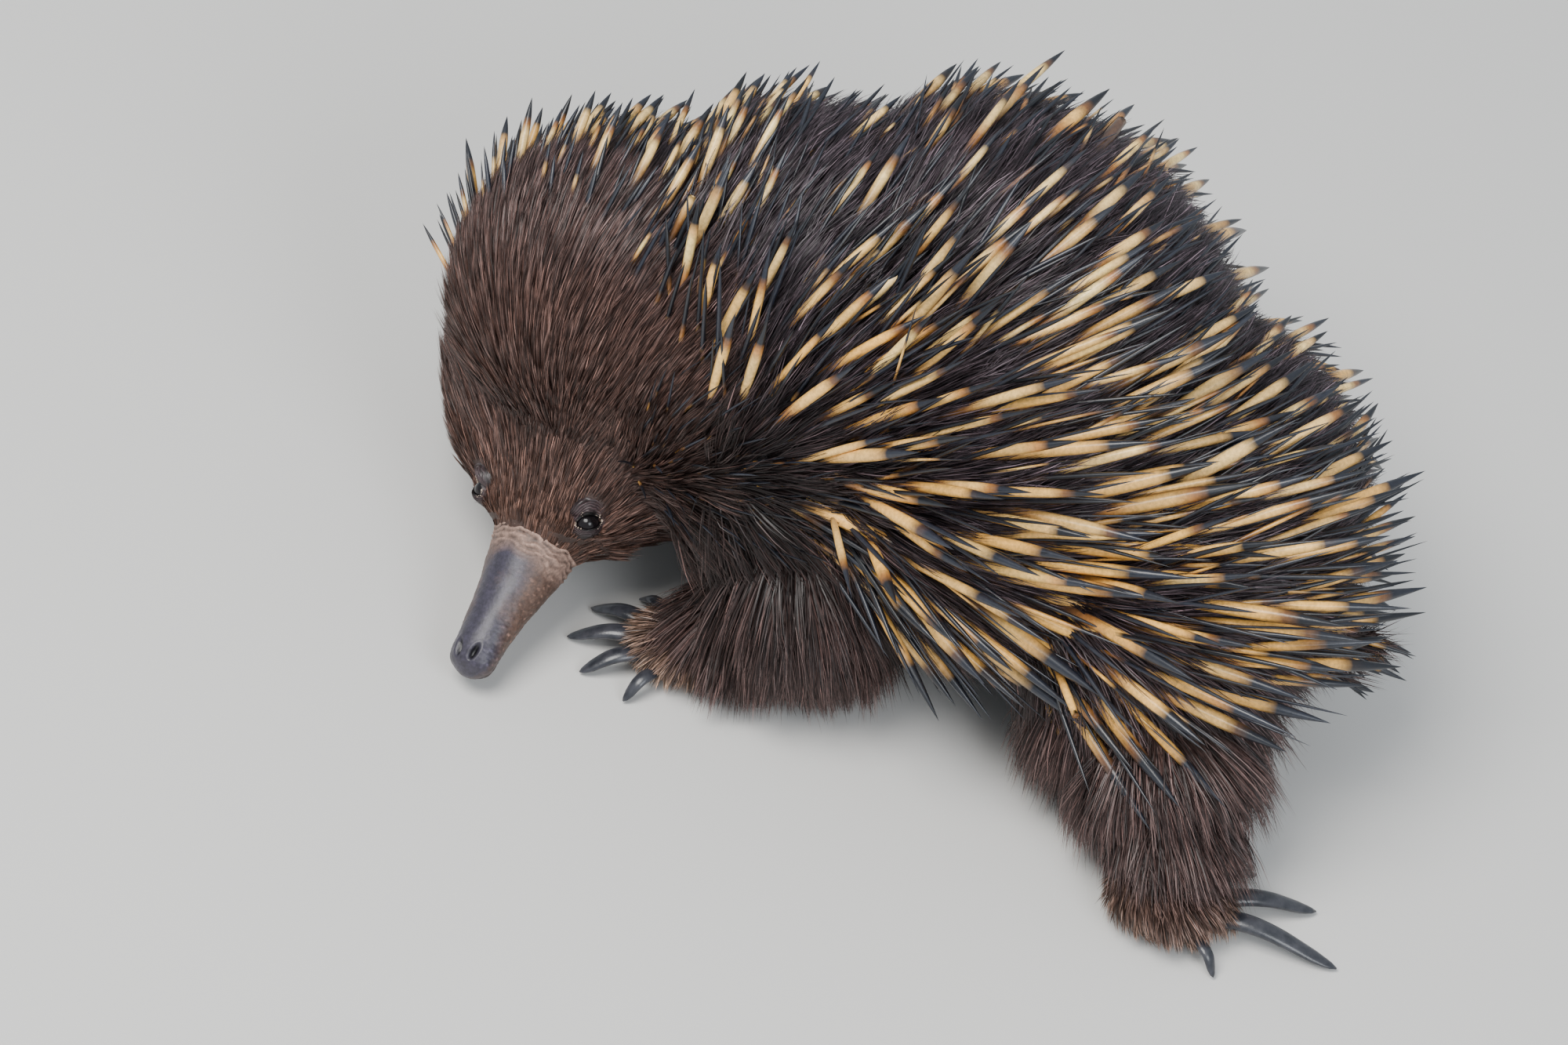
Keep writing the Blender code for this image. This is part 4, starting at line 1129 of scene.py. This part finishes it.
def build_lids(side, ground):
    """Both lids of one eye, from the slit outwards over eyeball, dome and skin, with the earth in its corners."""
    around, outward = 120, 46
    eye, slit, lifted, looking = eye_frame(side)
    angle = np.arange(around) * math.tau / around
    s = np.linspace(0, 1, outward)[:, None]
    upper = np.sin(angle) > 0
    inner_x = LID_SLIT[0] * np.cos(angle)
    inner_y = np.sign(np.sin(angle)) * np.abs(np.sin(angle)) ** 1.35 * np.where(upper, LID_SLIT[1], LID_SLIT[2])
    outer_x = LID_EDGE[0] * np.cos(angle)
    outer_y = np.sin(angle) * np.where(upper, LID_EDGE[1], LID_EDGE[2])
    x = inner_x + (outer_x - inner_x) * s**1.1
    y = inner_y + (outer_y - inner_y) * s**1.1
    rim = EYE_RADIUS + 0.00015 + 0.0006 * np.clip(s / 0.10, 0, 1) ** 0.5
    ball = np.sqrt(np.maximum(rim**2 - x**2 - y**2, 0)) - 0.0004 * np.clip((s - 0.5) / 0.5, 0, 1)
    dome = LID_DOME * np.sqrt(np.maximum(1 - (x / 0.0055) ** 2 - ((y - 0.0052) / 0.0037) ** 2, 0))
    flat = eye + x[..., None] * slit + y[..., None] * lifted
    skin_height = np.full(x.shape, -0.001)
    for index in np.ndindex(x.shape):
        found = ground.ray_cast(Vector(flat[index] + looking * 0.012), Vector(-looking))[0]
        if found is not None:
            skin_height[index] = (np.array(found) - eye) @ looking
    soft = 0.00035
    height = soft * np.log(np.exp(ball / soft) + np.exp(dome / soft) + np.exp(skin_height / soft))
    fade = np.clip((s - 0.60) / 0.40, 0, 1) ** 2
    height = height * (1 - fade) + (skin_height - 0.0003) * fade
    body = flat + height[..., None] * looking
    noise = ripple(body.reshape(-1, 3), 0.0030, 51).reshape(x.shape)
    finer = ripple(body.reshape(-1, 3), 0.0009, 52).reshape(x.shape)
    phase = s * math.tau * 7.0 + noise * 2.6
    body += looking * ((np.sin(phase) * 0.00024 + finer * 0.00006) * np.clip(s / 0.15, 0, 1) * (1 - fade))[..., None]
    inside = eye + (flat[0] - eye) * 0.94 + looking * (ball[0] - 0.0009)[:, None]
    rows = np.concatenate((inside[None], body))
    grid = np.arange(rows.shape[0] * around).reshape(-1, around)
    quads = ring_quads(grid)
    tones = lid_tones(np.repeat(s, around, axis=1), y, phase)
    # The row tucked in behind the slit is painted three times darker, as the shade inside the socket.
    tones = np.concatenate((tones[:1] * 0.3, tones)).reshape(-1, 3)
    crumbs, crumb_faces, crumb_tones = earth_crumbs(body, around, side, grid.size)
    name = "lids_left" if side > 0 else "lids_right"
    points = np.vstack((rows.reshape(-1, 3), crumbs))
    mesh = whole_mesh(name, points, quads if side > 0 else quads[:, ::-1], crumb_faces)
    paint_points(mesh, np.vstack((tones, crumb_tones)))
    return mesh


def lid_material():
    """Soft, slightly moist creased skin in the tones kept on its points."""
    made, tree, shader = fresh_material("lid_skin")
    pores = texture(tree, "ShaderNodeTexNoise", Scale=1800.0, Detail=4.0)
    use_tone(tree, shader, pores, 0.72, 1.3)
    use_grain(tree, shader, pores.outputs["Fac"], 0.4, 0.0001)
    shader.inputs["Roughness"].default_value = 0.46
    return made


soft_skin = lid_material()
skin_tree = BVHTree.FromPolygons(skin_points.tolist(), skin_triangles.tolist())
for side in (-1, 1):
    lid_mesh = build_lids(side, skin_tree)
    lid_mesh.materials.append(soft_skin)
    lids = new_object(lid_mesh.name, lid_mesh)
    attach(lids, "root")


# The eyes. Small wet beads of glass, nearly black, set deep between wrinkled lids. Each is one polished ball with
# a slightly fuller front, pushed into its socket from behind.


def two_tones(tree, shader, noise, *ends):
    """Shades a surface between two tones by a noise, each given as its level and its red, green and blue."""
    tones = node(tree, "ShaderNodeValToRGB")
    for element, (level, red, green, blue) in zip(tones.color_ramp.elements, ends):
        element.position = level
        element.color = (red, green, blue, 1)
    link(tree, noise.outputs["Fac"], tones.inputs["Fac"])
    link(tree, tones.outputs["Color"], shader.inputs["Base Color"])


def eye_material():
    """Wet black glass with a faint brown cloud in it."""
    made, tree, shader = fresh_material("wet_eye")
    cloud = texture(tree, "ShaderNodeTexNoise", Scale=220.0, Detail=3.0)
    two_tones(tree, shader, cloud, (0.0, 0.002, 0.0015, 0.0015), (1.0, 0.012, 0.009, 0.011))
    shader.inputs["Roughness"].default_value = 0.18
    shader.inputs["Specular IOR Level"].default_value = 0.28
    shader.inputs["Coat Weight"].default_value = 0.10
    shader.inputs["Coat Roughness"].default_value = 0.06
    return made


glass = eye_material()
for side, name in ((-1, "eye_right"), (1, "eye_left")):
    centre, _, _, looking = eye_frame(side)
    body = bmesh.new()
    bmesh.ops.create_uvsphere(body, u_segments=48, v_segments=32, radius=EYE_RADIUS)
    front = Vector(looking)
    for vertex in body.verts:
        facing = max(0.0, vertex.co.normalized().dot(front))
        vertex.co = Vector(centre) + vertex.co * (1 + 0.05 * facing**8)
    for face in body.faces:
        face.smooth = True
    mesh = bpy.data.meshes.new(name + "_bead")
    body.to_mesh(mesh)
    body.free()
    mesh.materials.append(glass)
    bead = new_object(name + "_bead", mesh)
    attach(bead, "root")
    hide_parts(name)


# The beak. A long tube of bone under smooth bare skin, widest where it leaves the face, with two nostrils on top
# near its end and a small mouth beneath. It is cast round and polished, with earth dried on its sides.


def beak_material():
    """Shiny blue-grey skin on the ridge, brown and granular with dried earth on the sides and at the root."""
    made, tree, shader = fresh_material("beak_skin")
    grain = texture(tree, "ShaderNodeTexNoise", Scale=1100.0, Detail=6.0, Roughness=0.7)
    tone = use_tone(tree, shader, grain, 0.62, 1.35)
    rough = node(tree, "ShaderNodeMapRange")
    rough.inputs["From Max"].default_value = 0.10
    rough.inputs["To Min"].default_value = 0.40
    rough.inputs["To Max"].default_value = 0.75
    warmth = node(tree, "ShaderNodeSeparateColor")
    less = node(tree, "ShaderNodeMath", operation="SUBTRACT")
    link(tree, tone.outputs["Color"], warmth.inputs["Color"])
    link(tree, warmth.outputs["Red"], less.inputs[0])
    link(tree, warmth.outputs["Blue"], less.inputs[1])
    link(tree, less.outputs["Value"], rough.inputs["Value"])
    link(tree, rough.outputs["Result"], shader.inputs["Roughness"])
    use_grain(tree, shader, grain.outputs["Fac"], 0.35, 0.0003)
    shader.inputs["Coat Weight"].default_value = 0.08
    shader.inputs["Coat Roughness"].default_value = 0.3
    return made


def smoothed(values):
    """Values down the beak, with the corners between its stations rounded off."""
    kernel = np.hanning(13) / np.hanning(13).sum()
    return np.convolve(np.pad(values, 6, mode="edge"), kernel, mode="valid")


RIDGE_TONE = np.array((0.034, 0.029, 0.045))
SIDE_TONE = np.array((0.100, 0.057, 0.042))
BARE_TONE = np.array((0.290, 0.185, 0.145))
FOLD_PITCH = 0.0021
NOSTRIL = (0.0505, 0.0029, BEAK_RISES[6] + 0.0062)
NOSTRIL_SIZE = np.array((0.0025, 0.0010, 0.0040))
MOUTH_HEIGHT = BEAK_RISES[7] - 0.0022


def build_beak():
    """The beak as rings from its root to its tip, creased, pitted and coloured point by point."""
    rows, columns = 150, 120
    f = np.linspace(BEAK_STATIONS[0], BEAK_STATIONS[-1], rows)
    wide = smoothed(np.interp(f, BEAK_STATIONS, BEAK_HALF_WIDTHS))
    tall = smoothed(np.interp(f, BEAK_STATIONS, BEAK_HALF_HEIGHTS))
    rise = smoothed(np.interp(f, BEAK_STATIONS, BEAK_RISES))
    end = BEAK_STATIONS[-1]
    close = np.sqrt(np.clip(1 - (np.clip(f - (end - 0.0046), 0, 1) / 0.0047) ** 2, 0, 1))
    wide, tall = wide * (0.22 + 0.78 * close), tall * (0.22 + 0.78 * close)
    turn = np.arange(columns) * math.tau / columns
    left = np.cos(turn)[None, :] * wide[:, None]
    crown = np.sin(turn)[None, :] * tall[:, None] + rise[:, None]
    local = np.stack((np.tile(f[:, None], (1, columns)), left, crown), axis=2).reshape(-1, 3)
    points = BETWEEN_EYES + SHIFT + local @ HEAD_TURNED.T
    middle = BETWEEN_EYES + SHIFT + np.stack((f, 0 * f, rise), axis=1) @ HEAD_TURNED.T
    outward = unit(points - np.repeat(middle, columns, axis=0))
    top = np.clip(outward @ CROWN, 0, 1)
    bent = local[:, 0] - np.abs(local[:, 1]) * 0.22 + ripple(points, 0.011, 3) * 0.0015
    near_root = np.exp(-(((bent - 0.0085) / 0.0062) ** 4))
    phase = bent * math.tau / FOLD_PITCH + ripple(points, 0.0045, 4) * 2.2
    points += outward * ((np.sin(phase) * (0.7 + 0.5 * ripple(points, 0.004, 39))) * near_root * 0.00042)[:, None]
    points += outward * (ripple(points, 0.0019, 36) * near_root * 0.00020)[:, None]
    dirt = np.clip(1.15 - top**1.5 * 1.2, 0.1, 1)
    points += outward * (ripple(points, 0.0013, 31) * dirt * 0.00009)[:, None]
    points += outward * (ripple(points, 0.0030, 34) * dirt * 0.00010 + ripple(points, 0.009, 32) * 0.00014)[:, None]
    # dark marks the nostril pits and the groove of the mouth, which are painted near black as the shade inside them.
    dark = np.zeros(len(points))
    for side in (-1, 1):
        nostril = np.array((NOSTRIL[0], side * NOSTRIL[1], NOSTRIL[2]))
        away = (local - nostril) @ np.array(((1, side * 0.25, 0), (-side * 0.25, 1, 0), (0, 0, 1)))
        away = away / NOSTRIL_SIZE
        pit = np.exp(-(np.sum(away**2, axis=1) ** 1.5))
        rim = np.exp(-(((np.linalg.norm(away, axis=1) - 1.5) / 0.4) ** 2))
        points -= outward * (pit * 0.0017 - rim * 0.00015)[:, None]
        dark = np.maximum(dark, pit)
    on_mouth = np.exp(-(((local[:, 2] - MOUTH_HEIGHT) / 0.00035) ** 2)) * (local[:, 0] > 0.0475)
    points -= outward * (on_mouth * 0.0009)[:, None]
    dark = np.maximum(dark, on_mouth)
    grid = np.arange(rows * columns).reshape(rows, columns)
    by_tip = ramp(local[:, 0], (0.036, 0.048), (0, 1.3))
    patchy = 0.30 * ripple(points, 0.010, 33) + 0.12 * ripple(points, 0.002, 37)
    cover = np.clip(top**1.4 * 1.9 - 0.70 + by_tip + patchy, 0, 1)
    colour = RIDGE_TONE * cover[:, None] + SIDE_TONE * (1 - cover)[:, None]
    by_root = ramp(bent, (0.0125, 0.0175), (1, 0))[:, None]
    # Painted shade in the folds at the beak's root: the bare skin is darker in the troughs of the same waves that
    # crease it.
    creased = (0.74 + (0.30 * np.sin(phase) + 0.22 * ripple(points, 0.0025, 47)) * near_root)[:, None]
    colour = colour * (1 - by_root) + BARE_TONE * creased * by_root
    colour = colour * (1 + 0.22 * ripple(points, 0.003, 35) + 0.14 * ripple(points, 0.0011, 38))[:, None]
    specks = np.clip(ripple(points, 0.0016, 44) * 3.2 - 2.1, -1, 1) * dirt * (1 - by_root[:, 0])
    colour = colour * (1 + np.where(specks > 0, 1.5, 0.12) * specks)[:, None]
    # Painted shade: nostrils and mouth are made almost black.
    colour = colour * (1 - 0.93 * np.clip(dark * 1.6, 0, 1))[:, None]
    points = np.vstack((points, points[-columns:].mean(axis=0) + FORWARD * 0.0003))
    mesh = whole_mesh("beak_tube", points, ring_quads(grid), end_cap(grid, grid.size))
    paint_points(mesh, np.vstack((colour, RIDGE_TONE)))
    return mesh


beak = new_object("beak_tube", build_beak())
beak.data.materials.append(beak_material())
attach(beak, "root")
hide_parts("beak")


# The claws. Long spades of dark horn for digging, curved and blunt on the forefeet, and on the hind feet longer,
# narrower and hooked for combing the spines. Each is a solid cone set into the end of its toe.


def claw_material():
    """Dark polished horn, streaked and finely grained."""
    made, tree, shader = fresh_material("claw_horn")
    streaks = texture(tree, "ShaderNodeTexNoise", Scale=260.0, Detail=5.0, Roughness=0.6)
    two_tones(tree, shader, streaks, (0.30, 0.010, 0.012, 0.017), (0.72, 0.050, 0.050, 0.060))
    fine = texture(tree, "ShaderNodeTexNoise", Scale=1500.0, Detail=4.0)
    use_grain(tree, shader, fine.outputs["Fac"], 0.3, 0.0002)
    shader.inputs["Roughness"].default_value = 0.33
    shader.inputs["Coat Weight"].default_value = 0.3
    shader.inputs["Coat Roughness"].default_value = 0.2
    return made


CLAW_RINGS, CLAW_SIDES = 22, 16
CLAW_STATIONS = (0, 0.25, 0.55, 0.8, 0.94, 1)
CLAW_HALF_WIDTHS = (1.10, 1.08, 0.98, 0.80, 0.50, 0.10)
CLAW_HALF_HEIGHTS = (0.74, 0.72, 0.58, 0.40, 0.22, 0.05)


def claw_points(line, across, width):
    """Rings down one claw: flat below, ridged above, coming to a blunt point."""
    t = np.linspace(0, 1, CLAW_RINGS)
    s = np.array((0.0, 0.33, 0.67, 1.0))
    blend = np.array([np.prod([(t - s[j]) / (s[i] - s[j]) for j in range(4) if j != i], axis=0) for i in range(4)])
    centre = blend.T @ line
    half = width / 2 * np.interp(t, CLAW_STATIONS, CLAW_HALF_WIDTHS)
    high = width / 2 * np.interp(t, CLAW_STATIONS, CLAW_HALF_HEIGHTS)
    ahead = unit(np.gradient(centre, axis=0))
    over = unit(np.cross(ahead, across))
    side = np.cross(over, ahead)
    turn = np.arange(CLAW_SIDES) * math.tau / CLAW_SIDES
    rounded = np.where(np.sin(turn) < 0, 0.62, 1.0)
    ring = side[:, None] * np.cos(turn)[None, :, None] * half[:, None, None]
    ring = ring + over[:, None] * (np.sin(turn) * rounded)[None, :, None] * high[:, None, None]
    return (centre[:, None] + ring).reshape(-1, 3)


claw_horn = claw_material()
for leg in LEG_MASSES:
    points, quads, caps = [], [], []
    total = 0
    for line, across_way, width, _ in claws_of(leg):
        body = claw_points(line, across_way, width)
        grid = total + np.arange(len(body)).reshape(CLAW_RINGS, CLAW_SIDES)
        quads.append(ring_quads(grid))
        caps.append(end_cap(grid, total + len(body)))
        points.append(np.vstack((body, body[-CLAW_SIDES:].mean(axis=0))))
        total += len(body) + 1
    name = leg.replace("leg", "claws")
    mesh = whole_mesh(name, np.vstack(points), np.vstack(quads), np.vstack(caps))
    mesh.materials.append(claw_horn)
    piece = new_object(name, mesh)
    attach(piece, "root")
    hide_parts(*[leg.replace("leg", "claw") + "_" + str(number) for number in range(1, 6)])


# The floor, the light and the camera. The model stands on a plain pale studio floor, under a large overcast sky
# with two soft windows, and the camera looks down on its left shoulder from in front.

floor_mesh = bpy.data.meshes.new("studio_floor")
floor_mesh.from_pydata([(-8, -8, 0), (8, -8, 0), (8, 8, 0), (-8, 8, 0)], [], [(0, 1, 2, 3)])
studio_floor = new_object("studio_floor", floor_mesh)
floor_paint, _, floor_shader = fresh_material("pale_floor")
floor_shader.inputs["Base Color"].default_value = (0.62, 0.61, 0.59, 1)
floor_shader.inputs["Roughness"].default_value = 0.8
floor_mesh.materials.append(floor_paint)

sky = bpy.data.worlds.new("overcast")
bpy.context.scene.world = sky
sky.use_nodes = True
sky.node_tree.nodes["Background"].inputs["Color"].default_value = (0.86, 0.93, 1.0, 1)
sky.node_tree.nodes["Background"].inputs["Strength"].default_value = 0.70


LOOKED_AT = (0, 0, 0.06)


def soft_light(name, place, size, power, colour):
    """A round window of light that faces the model."""
    lamp = bpy.data.lights.new(name, "AREA")
    lamp.shape = "DISK"
    lamp.size = size
    lamp.energy = power
    lamp.color = colour
    holder = new_object(name, lamp)
    holder.location = place
    holder.rotation_mode = "QUATERNION"
    holder.rotation_quaternion = (Vector(LOOKED_AT) - Vector(place)).to_track_quat("-Z", "Y")


soft_light("sky_window", (0.55, -0.75, 1.70), 1.1, 44, (1.0, 0.98, 0.95))
soft_light("side_window", (1.30, 0.60, 1.10), 0.9, 16, (0.92, 0.96, 1.0))

CAMERA_AZIMUTH = math.radians(82)
CAMERA_ELEVATION = math.radians(43)
CAMERA_ROLL = math.radians(12)
CAMERA_DISTANCE = 2.3
CAMERA_LENS, CAMERA_SENSOR = 170, 36
back = np.array(
    (
        math.sin(CAMERA_AZIMUTH) * math.cos(CAMERA_ELEVATION),
        -math.cos(CAMERA_AZIMUTH) * math.cos(CAMERA_ELEVATION),
        math.sin(CAMERA_ELEVATION),
    )
)
right = unit(np.cross(UP, back))
above = np.cross(back, right)
rolled_right = right * math.cos(CAMERA_ROLL) + above * math.sin(CAMERA_ROLL)
rolled_above = np.cross(back, rolled_right)
lens = bpy.data.cameras.new("camera")
lens.lens = CAMERA_LENS
lens.sensor_width = CAMERA_SENSOR
camera = new_object("camera", lens)
pose = Matrix(np.array((rolled_right, rolled_above, back)).T.tolist()).to_4x4()
pose.translation = Vector(np.array(LOOKED_AT) + SHIFT + back * CAMERA_DISTANCE)
camera.matrix_world = pose
bpy.context.scene.camera = camera
